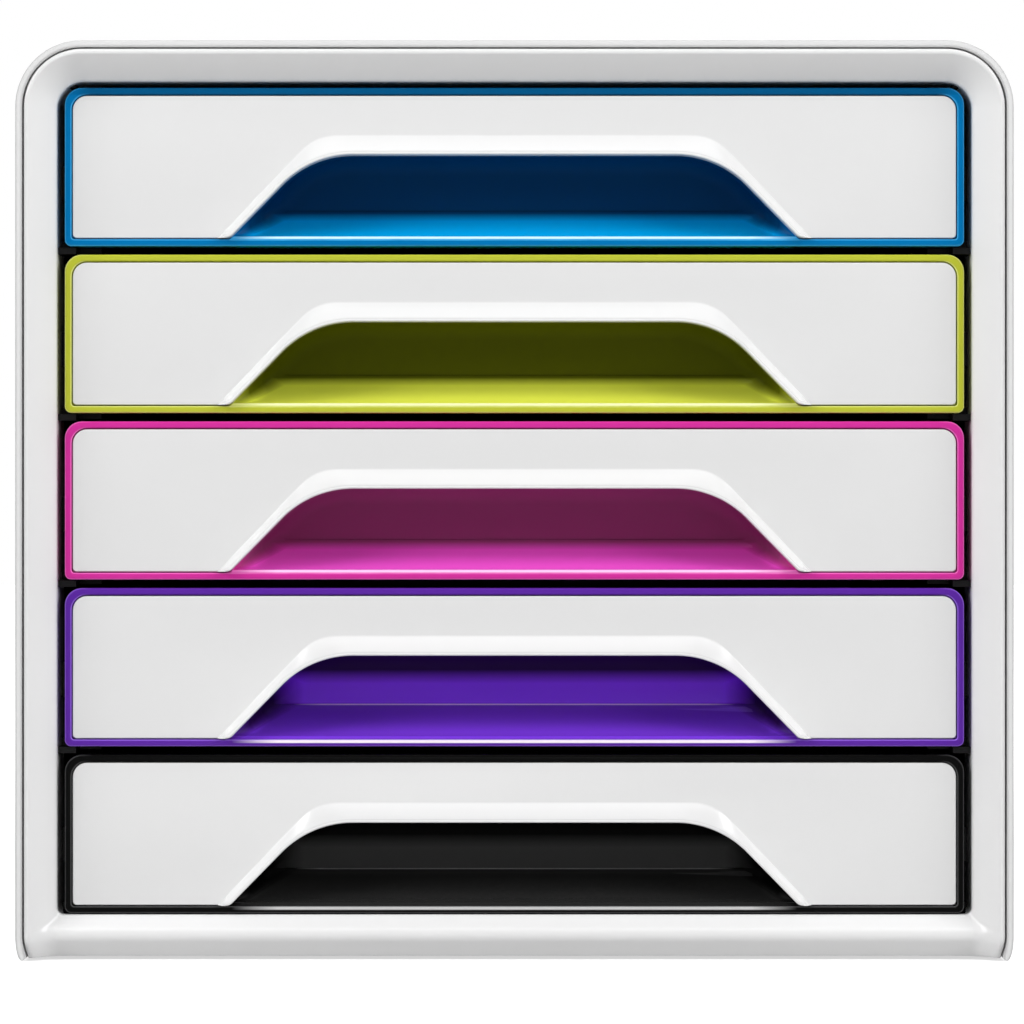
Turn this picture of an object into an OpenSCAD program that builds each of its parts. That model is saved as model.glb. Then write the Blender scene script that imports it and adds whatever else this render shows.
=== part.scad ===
// Desktop drawer unit for loose papers: a shell with a slide-out stack of shallow trays.
// Right-handed frame in millimetres: X to the right, Y to the back, Z up.
// The origin is on the desk, under the middle of the cabinet.

/* [Cabinet] */
// Outside width of the shell
cabinet_w = 288; // [270:1:340]
// Depth from the front rim to the back edge
cabinet_d = 360; // [320:1:420]
// Number of drawers in the stack
drawer_count = 5; // [2:1:6]
// Wall of the outer shell
shell_t = 2; // [1.6:0.1:3.2]
// Outside radius of the shell's top corners
shell_r = 19.2; // [15:0.1:24]
// Rounding of the shell's bottom edges
shell_tip_r = 2; // [1:0.1:2.3]
// Seam between the shell and what is fitted in it
seam = 0.25; // [0.2:0.05:0.5]
// Height at which the feet hold the shell off the desk
stand_h = 0.5; // [0.3:0.1:3]
// Height of the ribs inside the shell's bottom edges, which carry the base
shell_rib_z = 1; // [0.5:0.1:3]
// Width of those ribs
shell_rib_w = 3; // [2:0.5:6]
// Thickness of those ribs
shell_rib_t = 2; // [1.5:0.1:4]
// Width of the lip that holds the back panel in
back_lip_w = 1.2; // [0.6:0.1:2.5]
// Thickness of the lip that holds the back panel in
back_lip_t = 0.8; // [0.5:0.1:2]

/* [Bezel] */
// Width of the bezel's top and side bars
bezel_w = 9; // [7:0.1:14]
// Wall of the bezel
bezel_t = 2.2; // [1.6:0.1:3]
// Angle between the bars' slope and the front
bezel_slope = 45; // [30:1:55]
// Rounding of the bezel's front rim
bezel_rim_r = 1; // [0.6:0.1:1.6]
// Rounding of the bezel's inner edge
bezel_roll_r = 2; // [1:0.1:2.2]
// Depth to which the bezel's inner walls run
bezel_wall_d = 11; // [10.5:0.5:16]
// Depth to which the bezel's outer walls run along the shell
bezel_flange_d = 14; // [12:0.5:24]
// Height of the side bars' bottom ends above the shell's bottom edges
bar_foot_z = 0.4; // [0.3:0.1:2]
// Height of the sill above the shell's bottom edges
sill_h = 12.6; // [11.5:0.1:20]
// Height of the sill's bottom edge above the shell's bottom edges
sill_foot_z = 0.6; // [0.4:0.1:2.5]
// Radius of the sill's round nose
sill_nose_r = 3.4; // [3:0.1:3.8]
// Distance of the nose's front from the front rim
sill_nose_y = 4; // [2:0.1:4.2]
// Height of the middle of the nose above the shell's bottom edges
sill_nose_z = 6.9; // [6:0.1:8]
// How far the slope above the nose leans back from the vertical
sill_top_lean = 42; // [36:1:46]
// How far the slope below the nose leans back from the vertical
sill_low_lean = 35; // [10:1:40]
// Rounding of the sill's top edge
sill_roll_r = 1.2; // [0.6:0.1:2]
// Rounding of the sill's bottom edge
sill_edge_r = 0.8; // [0.5:0.1:1.5]
// Radius of the bezel's inner corners above the sill
sill_corner_r = 2; // [1:0.1:2.2]

/* [Drawer fronts] */
// Height of one drawer front
front_h = 45.9; // [42:0.1:60]
// Gap between one drawer front and the next
front_gap = 2.5; // [2.3:0.1:4]
// How far the fronts lie behind the front rim
front_recess = 8; // [7:0.5:14]
// Gap beside the fronts
side_gap = 2.25; // [1.5:0.05:4]
// Gap above the top front
head_gap = 1.75; // [1:0.05:4]
// Gap below the bottom front
sill_gap = 0.4; // [0.3:0.1:2]
// Thickness of the coloured rim around a front
rim_t = 1.95; // [1.6:0.05:3]
// Depth of the coloured rim
rim_d = 12; // [11:0.5:16]
// Radius of a front's top corners
front_top_r = 4.9; // [3.5:0.1:8]
// Radius of a front's bottom corners
front_low_r = 1.8; // [1:0.1:3]
// Radius of the fascia's top corners
fascia_top_r = 4.1; // [3:0.1:6]
// Gap between the rim and the fascia
fascia_gap = 0.35; // [0.2:0.05:0.8]
// Thickness of the fascia
fascia_t = 2.3; // [2:0.1:3]
// How far the fascia lies behind the rim's front
fascia_inset = 0.2; // [0:0.05:1]
// Wall behind the fascia
seat_t = 1.8; // [1.4:0.1:3]
// Clearance of the pieces that fit in or slide on each other
fit = 0.3; // [0.2:0.05:0.5]

/* [Handle] */
// Width of the handle opening at its bottom edge
grip_w = 165; // [130:1:180]
// Height of the opening's top above the front's bottom
grip_h = 26.35; // [22:0.05:28]
// Slope of the opening's sides
grip_slope = 45.6; // [40:0.2:60]
// Radius between the sides and the top
grip_r = 29; // [15:1:35]
// Radius of the opening's bottom corners
grip_foot_r = 2.75; // [1:0.25:4]
// How far the lip stands out from the fascia
lip_h = 3.2; // [2:0.1:4]
// Width of the lip above the opening
lip_w = 5.8; // [3:0.1:7]
// Width of the lip at the opening's bottom edge, measured level
lip_foot_w = 3.6; // [1.8:0.1:4]
// Slope of the lip's outer edge
lip_slope = 46.4; // [46:0.2:50]
// Radius of the lip's outer edge
lip_r = 14; // [10:1:25]
// Depth of the finger pocket behind the front
pocket_d = 20; // [16:0.5:26]
// Wall of the finger pocket
pocket_t = 1.8; // [1.4:0.1:3]
// Step from the opening's edge back to the pocket's wall
pocket_step = 0.4; // [0.2:0.05:1]
// Height of the scoop at the pocket's back
scoop_h = 9.5; // [6:0.1:12]
// Width of the ledge at the scoop's top
scoop_ledge = 1; // [0.5:0.1:2]
// Height of the scoop's rounded front edge above the rim
scoop_edge = 0.85; // [0.4:0.05:2]

/* [Trays] */
// Wall of a tray
tray_t = 1.8; // [1.4:0.1:3]
// Depth of the tray's front corners behind the front
tray_front_y = 7.5; // [7:0.5:10]
// Radius of the tray's front corners
tray_front_r = 1; // [0.6:0.1:2]
// Radius of the tray's back corners
tray_back_r = 5; // [2.5:0.5:12]
// Space behind a closed tray
tray_back_gap = 2; // [1:0.5:10]
// Height of the ribs on a tray's floor
tray_rib_h = 0.8; // [0.4:0.1:2]
// Width of the ribs on a tray's floor
tray_rib_w = 2; // [1:0.5:5]
// Number of ribs on a tray's floor
tray_ribs = 4; // [2:1:8]
// Travel of a drawer to its stop
drawer_travel = 250; // [150:5:280]
// Width of the stop tabs on the trays and of the lugs on the racks
stop_t = 3; // [2:0.5:6]
// Height of the stop tabs
tab_h = 10; // [6:0.5:20]
// Height of a tab's and lug's lowest edge above the front's bottom
stop_z = 14; // [8:0.5:22]

/* [Racks] */
// Distance from the fronts' sides to the racks' plates
rack_gap = 3.5; // [2.5:0.1:6]
// Thickness of the racks' plates and ribs
rack_t = 2; // [1.5:0.1:3]
// How far the runner ledges stand out from the plates
ledge_w = 13; // [9:0.5:20]
// Thickness of the runner ledges
ledge_t = 3.5; // [2.5:0.1:4]
// Width of the narrow noses of the ledges, which reach forward between the fronts
nose_w = 6.5; // [5:0.1:8]
// Depth behind the fronts at which these noses start
nose_y = 3; // [2:0.5:8]
// Number of upright ribs on the outside of a rack
rack_ribs = 5; // [3:1:9]

/* [Base, back and feet] */
// Thickness of the base plate
base_t = 2; // [1.6:0.1:4]
// Height of the ribs under the base plate
base_rib_h = 1.6; // [1:0.1:2]
// Thickness of the back panel
back_t = 2; // [1.6:0.1:4]
// Depth of the recessed field in the back panel
back_field_t = 0.6; // [0.2:0.1:1]
// Distance of that field from the panel's edges
back_field_edge = 22; // [12:1:40]
// Radius of the field's corners
back_field_r = 5; // [2:0.5:12]
// Diameter of the feet
foot_dia = 14; // [10:0.5:20]
// Diameter of the feet's stems
stem_dia = 5; // [3:0.5:8]
// Clearance around the stems
stem_fit = 0.1; // [0.05:0.05:0.3]
// Chamfer round the feet's soles
foot_edge = 1; // [0.5:0.1:1.5]
// Distance of the feet's middles from the cabinet's sides
foot_side = 24; // [18:1:60]
// Distance of the feet's middles from the cabinet's front and back
foot_end = 32; // [30:1:80]

/* [Clips] */
// Width of the clips and snaps
clip_w = 5; // [3:0.5:8]
// Thickness of the clips
clip_t = 1.6; // [1.2:0.1:2.4]
// Catch of the clips and snaps
clip_hook = 0.8; // [0.5:0.1:1.2]
// Length of the clips' hooks
clip_hook_d = 1.2; // [0.8:0.1:2]
// Distance of the outer clips from the fascia's sides
clip_side = 10; // [8:1:30]
// Distance of the clips from the fascia's top and bottom edges
clip_end = 6; // [5:0.5:8]

/* [Hidden] */
$fn = 64;
arc_steps = 10;
foot_steps = 4;
half_w = cabinet_w / 2;
front_y = -cabinet_d / 2;
back_y = cabinet_d / 2;
face_y = front_y + front_recess;
pitch = front_h + front_gap;

// Half widths, from the shell inwards
bezel_half = half_w - shell_t - seam;
aperture_half = bezel_half - bezel_w;
front_half = aperture_half - side_gap;
rack_half = front_half + rack_gap;
tray_half = front_half - rim_t - fit;
fascia_half = front_half - rim_t - fascia_gap;

// Heights, from the desk upwards
first_z = stand_h + sill_h + sill_gap;
aperture_top = first_z + drawer_count * pitch - front_gap + head_gap;
bezel_top = aperture_top + bezel_w;
top_z = bezel_top + seam + shell_t;
base_z = stand_h + shell_rib_z + shell_rib_t;
base_top = base_z + base_t;
bezel_r = shell_r - shell_t - seam;

// Depths
seat_y = fascia_inset + fascia_t;
back_face = back_y - back_lip_t - fit;
panel_y = back_face - back_t;
tray_end = panel_y - tray_back_gap - face_y;
rack_y = front_y + bezel_wall_d + fit;
flange_y = front_y + bezel_flange_d + fit;
ledge_y = rim_d + fit;
lug_y = ledge_y + stop_t;

drawer_names = ["tray", "front_frame", "fascia"];
drawer_colors = ["#0078b9", "#c8ce45", "#d6409b", "#6532a8", "#232324"];
foot_names = ["foot_front_left", "foot_front_right", "foot_rear_left", "foot_rear_right"];

// Height of drawer n's front above the desk; drawer 1 is the top one
function drawer_z(n) = first_z + (drawer_count - n) * pitch;

// Points on an arc about c from angle a0 to a1
function arc(c, r, a0, a1, steps = arc_steps) =
    [for (i = [0 : steps]) let (a = a0 + (a1 - a0) * i / steps) c + r * [cos(a), sin(a)]];

function mirrored(points) = [for (i = [len(points) - 1 : -1 : 0]) [-points[i][0], points[i][1]]];

// Extrude an outline drawn in X and Z from y0 to y1
module along_y(y0, y1) {
    translate([0, y1, 0]) rotate([90, 0, 0]) linear_extrude(y1 - y0) children();
}

// Extrude an outline drawn in Y and Z from x0 to x1
module along_x(x0, x1) {
    translate([x0, 0, 0]) rotate([90, 0, 90]) linear_extrude(x1 - x0) children();
}

module along_z(z0, z1) {
    translate([0, 0, z0]) linear_extrude(z1 - z0) children();
}

// A box between two opposite corners
module box(low, high) {
    translate(low) cube(high - low);
}

module both_sides() {
    children();
    mirror([1, 0, 0]) children();
}

// A rectangle about the Y axis with one radius for its low corners and one for its high ones
module soft_rect(half, low, high, r_low, r_high) {
    middle = low + r_low + (high - low - r_low - r_high) / 2;
    translate([-half, low + r_low]) square([2 * half, high - low - r_low - r_high]);
    translate([-half + r_low, low]) square([2 * (half - r_low), middle - low]);
    translate([-half + r_high, middle]) square([2 * (half - r_high), high - middle]);
    for (side = [-1, 1]) {
        translate([side * (half - r_low), low + r_low]) circle(r_low);
        translate([side * (half - r_high), high - r_high]) circle(r_high);
    }
}

// The inside of the shell, seen from the front, drawn back by a gap
module arch(gap, low) {
    r = shell_r - shell_t - gap;
    half = half_w - shell_t - gap;
    high = top_z - shell_t - gap;
    translate([-half, low]) square([2 * half, high - r - low]);
    translate([-half + r, low]) square([2 * (half - r), high - low]);
    for (side = [-1, 1]) translate([side * (half - r), high - r]) circle(r);
}

module outer_shell() color("white") {
    rib_z = stand_h + shell_rib_z;
    difference() {
        along_y(front_y, back_y) soft_rect(half_w, stand_h, top_z, shell_tip_r, shell_r);
        along_y(front_y - 1, back_y + 1) arch(0, stand_h - 1);
    }
    // the ribs that carry the base
    both_sides() box(
        [half_w - shell_t - shell_rib_w, flange_y, rib_z],
        [half_w - shell_t / 2, back_y - back_lip_t, rib_z + shell_rib_t]
    );
    // the lip behind the back panel
    difference() {
        along_y(back_y - back_lip_t, back_y) arch(-shell_t / 2, rib_z);
        along_y(back_y - back_lip_t - 1, back_y + 1) arch(back_lip_w, rib_z - 1);
    }
}

// Section of the bezel's bars, as distance inwards from the seam and depth behind the front rim
function bar_section() =
    let (
        a = bezel_slope,
        normal = [sin(a), -cos(a)],
        rim = [bezel_rim_r, bezel_rim_r],
        run = bezel_w - bezel_roll_r - bezel_rim_r,
        drop = (run * sin(a) + bezel_roll_r - bezel_rim_r) / cos(a),
        roll = rim + [run, drop],
        inner = roll + (bezel_roll_r - bezel_t) * normal
    )
    concat(
        [[0, bezel_flange_d]],
        arc(rim, bezel_rim_r, -180, a - 90),
        arc(roll, bezel_roll_r, a - 90, 0),
        [
            [bezel_w, bezel_wall_d],
            [bezel_w - bezel_t, bezel_wall_d],
            [bezel_w - bezel_t, inner[1] + (bezel_w - bezel_t - inner[0]) * tan(a)],
            [bezel_t, inner[1] + (bezel_t - inner[0]) * tan(a)],
            [bezel_t, bezel_flange_d]
        ]
    );

// Section of the sill, as depth behind the front rim and height above the shell's bottom edges
function sill_section() =
    let (
        up = 180 - sill_top_lean,
        down = 180 + sill_low_lean,
        n_up = [cos(up), sin(up)],
        n_down = [cos(down), sin(down)],
        nose = [sill_nose_y + sill_nose_r, sill_nose_z],
        top_rise = sill_h - sill_roll_r - nose[1],
        foot_rise = sill_foot_z + sill_edge_r - nose[1],
        top = nose + [(sill_nose_r - sill_roll_r - top_rise * n_up[1]) / n_up[0], top_rise],
        foot = nose + [(sill_nose_r - sill_edge_r - foot_rise * n_down[1]) / n_down[0], foot_rise],
        inner_r = sill_nose_r - bezel_t,
        in_up = nose + inner_r * n_up,
        in_down = nose + inner_r * n_down,
        ceiling = sill_h - bezel_t,
        floor = sill_foot_z + bezel_t,
        foot_end = foot[0] + bezel_t
    )
    concat(
        [[foot_end, sill_foot_z]],
        arc(foot, sill_edge_r, 270, down),
        arc(nose, sill_nose_r, down, up),
        arc(top, sill_roll_r, up, 90),
        [
            [bezel_wall_d, sill_h],
            [bezel_wall_d, ceiling],
            [in_up[0] + (ceiling - in_up[1]) * tan(sill_top_lean), ceiling]
        ],
        arc(nose, inner_r, up, down),
        [[in_down[0] + (in_down[1] - floor) * tan(sill_low_lean), floor], [foot_end, floor]]
    );

module front_bezel() color("white") {
    corner = [bezel_half - bezel_r, front_y, bezel_top - bezel_r];
    both_sides() {
        along_z(stand_h + bar_foot_z, corner[2])
            polygon([for (p = bar_section()) [bezel_half - p[0], front_y + p[1]]]);
        translate(corner) rotate([-90, 0, 0]) rotate([0, 0, -90])
            rotate_extrude(angle = 90) polygon([for (p = bar_section()) [bezel_r - p[0], p[1]]]);
    }
    along_x(-corner[0], corner[0])
        polygon([for (p = bar_section()) [front_y + p[1], bezel_top - p[0]]]);
    along_x(-bezel_half, bezel_half)
        polygon([for (p = sill_section()) [front_y + p[0], stand_h + p[1]]]);
    both_sides() sill_corner();
}

// The rounded corner between a bar's inner edge and the sill's top
module sill_corner() {
    r = sill_corner_r;
    sill_top = stand_h + sill_h;
    along_y(face_y + sill_roll_r, front_y + bezel_wall_d) difference() {
        translate([aperture_half - r, sill_top - r / 2]) square(1.5 * r);
        translate([aperture_half - r, sill_top + r]) circle(r);
    }
}

module base_plate() color("#3b3c40") {
    rib_x = half_w - foot_side - foot_dia;
    foot_y = back_y - foot_end;
    rib_z = base_z - base_rib_h;
    tongue = bezel_half - bezel_t - fit;
    difference() {
        union() {
            box([-bezel_half, flange_y, base_z], [bezel_half, panel_y - fit, base_top]);
            box([-tongue, rack_y, base_z], [tongue, flange_y + base_t, base_top]);
            for (x = [-rib_x, 0, rib_x])
                box([x - base_t / 2, rack_y, rib_z], [x + base_t / 2, panel_y - fit, base_z]);
            for (y = [-foot_y + foot_dia, 0, foot_y - foot_dia])
                box([-rib_x, y - base_t / 2, rib_z], [rib_x, y + base_t / 2, base_z]);
        }
        for (x = [-1, 1], y = [-1, 1])
            translate([x * (half_w - foot_side), y * foot_y, base_z - 1])
                cylinder(h = base_t + 2, d = stem_dia + 2 * stem_fit);
    }
}

module back_panel() color("#3b3c40") {
    edge = half_w - shell_t - back_field_edge;
    low = base_z + back_field_edge;
    high = top_z - shell_t - back_field_edge;
    difference() {
        along_y(panel_y, back_face) arch(seam, base_z + fit);
        along_y(back_face - back_field_t, back_face + 1)
            soft_rect(edge, low, high, back_field_r, back_field_r);
    }
}

// A rubber foot, whose stem fits the base plate's hole
module foot(side, end) color("#8f9194") {
    translate([side * (half_w - foot_side), end * (back_y - foot_end), 0])
        rotate_extrude() polygon([
            [0, 0],
            [foot_dia / 2 - foot_edge, 0],
            [foot_dia / 2, foot_edge],
            [foot_dia / 2, base_z],
            [stem_dia / 2, base_z],
            [stem_dia / 2, base_top - fit],
            [0, base_top - fit]
        ]);
}

// The right-hand rack: a plate with runner ledges inside and ribs outside
module rack() {
    y1 = panel_y - fit;
    outer = rack_half + rack_t;
    intersection() {
        union() {
            box([rack_half, flange_y, base_top], [outer, y1, top_z]);
            box([rack_half, rack_y, base_top], [outer, flange_y + rack_t, bezel_top - bezel_r]);
            for (i = [0 : rack_ribs - 1]) {
                y = flange_y + (y1 - rack_t - flange_y) * i / (rack_ribs - 1);
                box([rack_half, y, base_top], [half_w, y + rack_t, top_z]);
            }
            for (n = [0 : drawer_count]) {
                z = drawer_z(n) + rim_t;
                box([rack_half - ledge_w, face_y + ledge_y, z - ledge_t], [outer, y1, z]);
                box([rack_half, flange_y, z - rack_t], [half_w, y1, z]);
            }
        }
        along_y(front_y, back_y) arch(seam, stand_h);
    }
    for (n = [0 : drawer_count - 1]) ledge_nose(drawer_z(n));
    for (n = [1 : drawer_count]) stop_lug(drawer_z(n) + stop_z);
}

// The part of a ledge that reaches forward in the gap under a front
module ledge_nose(z) {
    box(
        [rack_half - nose_w, face_y + nose_y, z - front_gap + fit],
        [rack_half + rack_t, face_y + ledge_y + rack_t, z - fit]
    );
}

// The lug that a tray's tab meets at the end of its travel
module stop_lug(z) {
    box(
        [tray_half + (rack_half - tray_half) / 3, face_y + ledge_y, z],
        [rack_half + rack_t / 2, face_y + lug_y, z + tab_h]
    );
}

module left_rack() color("#3b3c40") mirror([1, 0, 0]) rack();

module right_rack() color("#3b3c40") rack();

// Plan of a tray: a rectangle whose front steps back round the finger pocket
module tray_plan(inset) {
    front = tray_front_y + inset;
    notch = pocket_half(0) + fit + inset;
    difference() {
        soft_rect(tray_half - inset, front, tray_end - inset, tray_front_r, tray_back_r - inset);
        translate([-notch, 0]) square([2 * notch, pocket_d + inset]);
    }
}

module tray(n) {
    low = rim_t + fit;
    high = front_h - rim_t - fit;
    floor = low + tray_t;
    tab_y = lug_y + drawer_travel + fit;
    tab_x = rack_half - (rack_half - tray_half) / 3;
    color(drawer_colors[(n - 1) % len(drawer_colors)])
    translate([0, face_y, drawer_z(n)]) {
        along_z(low, floor) tray_plan(0);
        along_z(low, high) difference() {
            tray_plan(0);
            tray_plan(tray_t);
        }
        for (i = [0 : tray_ribs - 1]) {
            x = tray_half * (2 * (i + 0.5) / tray_ribs - 1);
            box(
                [x - tray_rib_w / 2, pocket_d + 2 * tray_t + tray_back_r, floor - tray_t / 2],
                [x + tray_rib_w / 2, tray_end - tray_t - tray_back_r, floor + tray_rib_h]
            );
        }
        both_sides() {
            box([tray_half - tray_t / 2, tab_y, stop_z], [tab_x, tab_y + stop_t, stop_z + tab_h]);
            frame_snap(0);
        }
    }
}

// The snap between a tray's side and the front frame, or its slot with a clearance
module frame_snap(gap) {
    y = tray_front_y + tray_front_r;
    z = front_h / 2;
    box(
        [tray_half - tray_t / 2, y - gap, z - clip_w - gap],
        [tray_half + fit + clip_hook + gap, y + clip_hook_d + gap, z + clip_w + gap]
    );
}

// Half width of the pocket's outside at height z over the front's bottom
function pocket_half(z) =
    grip_w / 2 + (pocket_step + pocket_t) / sin(grip_slope) + (fascia_low() - z) / tan(grip_slope);

function fascia_low() = rim_t + fascia_gap;

// Outline of the handle opening grown by a gap, with straight sides down to a given height
function pocket_outline(gap, low) =
    let (
        r = grip_r + gap,
        a = grip_slope,
        foot = grip_w / 2 + gap / sin(a) + (fascia_low() - low) / tan(a),
        centre = [grip_w / 2 - (grip_h - fascia_low()) / tan(a) - grip_r * tan(a / 2), grip_h - grip_r],
        side = concat([[foot, low]], arc(centre, r, 90 - a, 90))
    )
    concat(side, mirrored(side));

// Floor of the pocket, as depth and height: a quarter ellipse with a round edge over the bottom rim
function scoop_curve() =
    let (d = pocket_d - scoop_ledge, top = rim_t + scoop_h, fall = scoop_h - scoop_edge)
    concat(
        [for (i = [0 : arc_steps - 1]) let (a = 90 * i / arc_steps) [d * cos(a), top - fall * sin(a)]],
        arc([scoop_edge, rim_t], scoop_edge, 90, 180, foot_steps)
    );

module front_frame(n) {
    plate_y = seat_y;
    scoop_top = rim_t + scoop_h;
    color(drawer_colors[(n - 1) % len(drawer_colors)])
    translate([0, face_y, drawer_z(n)]) {
        difference() {
            along_y(0, rim_d) soft_rect(front_half, 0, front_h, front_low_r, front_top_r);
            along_y(-1, rim_d - 1) soft_rect(
                front_half - rim_t, rim_t, front_h - rim_t, front_low_r / 2, fascia_top_r + fascia_gap
            );
            along_y(plate_y + seat_t, rim_d + 1)
                soft_rect(front_half - rim_t, rim_t, front_h - rim_t, front_low_r / 3, front_low_r / 3);
            both_sides() frame_snap(fit / 2);
        }
        difference() {
            along_y(plate_y, plate_y + seat_t) soft_rect(
                front_half - rim_t / 2, rim_t / 2, front_h - rim_t / 2, front_low_r, front_top_r - rim_t / 2
            );
            along_y(plate_y - 1, plate_y + seat_t + 1) polygon(pocket_outline(pocket_step, rim_t));
            clips(fit);
        }
        // the roof over the finger pocket
        box(
            [-pocket_half(0), rim_d - rim_t, front_h - rim_t],
            [pocket_half(0), pocket_d + tray_t, front_h]
        );
        difference() {
            along_y(plate_y, pocket_d) polygon(pocket_outline(pocket_step + pocket_t, rim_t));
            along_y(plate_y - 1, pocket_d + 1) polygon(pocket_outline(pocket_step, rim_t - 1));
        }
        // the scoop, which passes through the fascia's opening to the rim's front
        intersection() {
            union() {
                along_y(0, seat_y + seat_t) polygon(pocket_outline(-fascia_gap, rim_t / 2));
                along_y(seat_y, pocket_d)
                    polygon(pocket_outline(pocket_step + pocket_t / 2, rim_t / 2));
            }
            along_x(-front_half, front_half) polygon(concat(
                [[0, rim_t / 2], [pocket_d, rim_t / 2], [pocket_d, scoop_top]],
                scoop_curve()
            ));
        }
    }
}

// Path of the opening's edge: each entry is a point and the angle of the normal into the fascia
function grip_side() =
    let (
        a = grip_slope,
        foot = [grip_w / 2 + grip_foot_r * (1 - cos(a)) / sin(a), fascia_low() + grip_foot_r],
        top = [grip_w / 2 - (grip_h - fascia_low()) / tan(a) - grip_r * tan(a / 2), grip_h - grip_r]
    )
    concat(
        [for (i = [0 : foot_steps]) let (f = 90 - a * i / foot_steps)
            [foot - grip_foot_r * [cos(f), sin(f)], f]],
        [for (i = [0 : arc_steps]) let (f = 90 - a + a * i / arc_steps)
            [top + grip_r * [cos(f), sin(f)], f]]
    );

// Distance from point p along direction n to the lip's outer edge
function lip_reach(p, n) =
    let (
        a = lip_slope,
        high = grip_h + lip_w,
        foot = [grip_w / 2 + lip_foot_w, fascia_low()],
        edge = [sin(a), cos(a)],
        to_side = ((foot - p) * edge) / (n * edge),
        to_top = n[1] > 0.01 ? (high - p[1]) / n[1] : 1e6,
        centre = [foot[0] - (high - foot[1]) / tan(a) - lip_r * tan(a / 2), high - lip_r],
        b = (centre - p) * n,
        c = (centre - p) * (centre - p) - lip_r * lip_r,
        root = b * b - c,
        to_arc = root > 0 ? b + sqrt(root) : 1e6,
        hit = p + to_arc * n - centre,
        on_arc = root > 0 && hit[0] > 0 && hit[1] > lip_r * cos(a)
    )
    on_arc ? to_arc : min(to_side, to_top);

// Sweep of the lip: its section is given as shares of the lip's width and height
lip_section = [
    [0.02, -0.4], [0.02, 0.72], [0.06, 0.9], [0.16, 1], [0.4, 0.94],
    [0.68, 0.6], [0.88, 0.22], [1, 0], [1, -0.4]
];

function lip_ring(p, f, side) =
    let (n = [cos(f), sin(f)], w = lip_reach(p, n))
    [for (s = lip_section) let (q = p + s[0] * w * n) [side * q[0], -s[1] * lip_h, q[1]]];

module lip() {
    path = grip_side();
    last = len(path) - 1;
    rings = concat(
        [for (i = [0 : last]) lip_ring(path[i][0], path[i][1], 1)],
        [for (i = [last : -1 : 0]) lip_ring(path[i][0], path[i][1], -1)]
    );
    m = len(lip_section);
    count = len(rings);
    polyhedron(
        points = [for (ring = rings) each ring],
        faces = concat(
            [[for (k = [0 : m - 1]) k]],
            [[for (k = [m - 1 : -1 : 0]) (count - 1) * m + k]],
            [for (i = [0 : count - 2]) for (k = [0 : m - 1]) let (j = (k + 1) % m)
                [(i + 1) * m + k, (i + 1) * m + j, i * m + j, i * m + k]]
        ),
        convexity = 6
    );
}

// The clips behind the fascia, or their slots in the frame with a clearance
module clips(gap) {
    low = fascia_low() + clip_end;
    high = front_h - fascia_low() - clip_end;
    for (x = [-fascia_half + clip_side, fascia_half - clip_side], z = [low, high]) clip(x, z, gap);
    for (x = [-1, 1]) clip(x * (grip_w / 2 - clip_side), high, gap);
}

// One clip: a tongue with a hook behind the wall, or the slot that both pass through
module clip(x, z, gap) {
    half = clip_w / 2 + gap;
    hook_y = seat_y + seat_t + fit;
    end_y = hook_y + clip_hook_d;
    slot_h = gap > 0 ? clip_hook : 0;
    box([x - half, seat_y - 1, z - gap], [x + half, end_y, z + clip_t + slot_h + gap]);
    if (gap == 0) box([x - half, hook_y, z], [x + half, end_y, z + clip_t + clip_hook]);
}

module fascia(n) color("white") translate([0, face_y + fascia_inset, drawer_z(n)]) {
    opening = [for (s = grip_side()) s[0]];
    along_y(0, fascia_t) difference() {
        soft_rect(
            fascia_half,
            fascia_low(),
            front_h - fascia_low(),
            front_low_r * 2 / 3,
            fascia_top_r
        );
        polygon(concat([[opening[0][0], 0]], opening, mirrored(opening), [[-opening[0][0], 0]]));
    }
    lip();
    translate([0, -fascia_inset, 0]) clips(0);
}

outer_shell();
front_bezel();
base_plate();
back_panel();
left_rack();
right_rack();
foot(-1, -1);  // foot_front_left
foot(1, -1);  // foot_front_right
foot(-1, 1);  // foot_rear_left
foot(1, 1);  // foot_rear_right
for (n = [1 : drawer_count]) {
    tray(n);
    front_frame(n);
    fascia(n);
}
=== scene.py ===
"""Desktop drawer unit: five coloured drawers for loose papers in a white shell.

Lengths are in millimetres until a mesh is made. X runs to the right, Y to the back and Z up.
In a section, depth counts backwards from the front rim of the shell.
"""
import math

import bmesh
import bpy
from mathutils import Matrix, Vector


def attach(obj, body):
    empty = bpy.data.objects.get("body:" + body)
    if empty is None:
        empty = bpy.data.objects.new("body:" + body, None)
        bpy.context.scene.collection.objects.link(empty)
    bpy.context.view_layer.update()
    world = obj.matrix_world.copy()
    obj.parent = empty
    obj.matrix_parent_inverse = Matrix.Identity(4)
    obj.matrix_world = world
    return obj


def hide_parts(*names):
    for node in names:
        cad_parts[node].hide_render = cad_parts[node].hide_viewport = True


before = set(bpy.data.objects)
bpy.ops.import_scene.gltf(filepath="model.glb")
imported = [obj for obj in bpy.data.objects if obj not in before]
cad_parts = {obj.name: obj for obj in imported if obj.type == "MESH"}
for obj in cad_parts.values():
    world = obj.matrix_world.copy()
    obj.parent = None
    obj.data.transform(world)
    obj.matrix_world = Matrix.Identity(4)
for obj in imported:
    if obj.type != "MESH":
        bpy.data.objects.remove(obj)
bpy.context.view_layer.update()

MM = 0.001

# Cabinet
CABINET_W = 288.0
CABINET_D = 360.0
DRAWERS = 5
SHELL_T = 2.0
SHELL_R = 19.2
SHELL_EDGE_R = 0.7
SHELL_EDGE_FIT = 2.2
SHELL_RIB_Z = 1.0
SHELL_RIB_W = 3.0
SHELL_RIB_T = 2.0
SHELL_RIB_GAP = 0.3
BACK_LIP_W = 1.2
BACK_LIP_T = 0.8
BACK_LIP_EDGE = 0.25
SEAM = 0.45
STAND_H = 0.5

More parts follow.
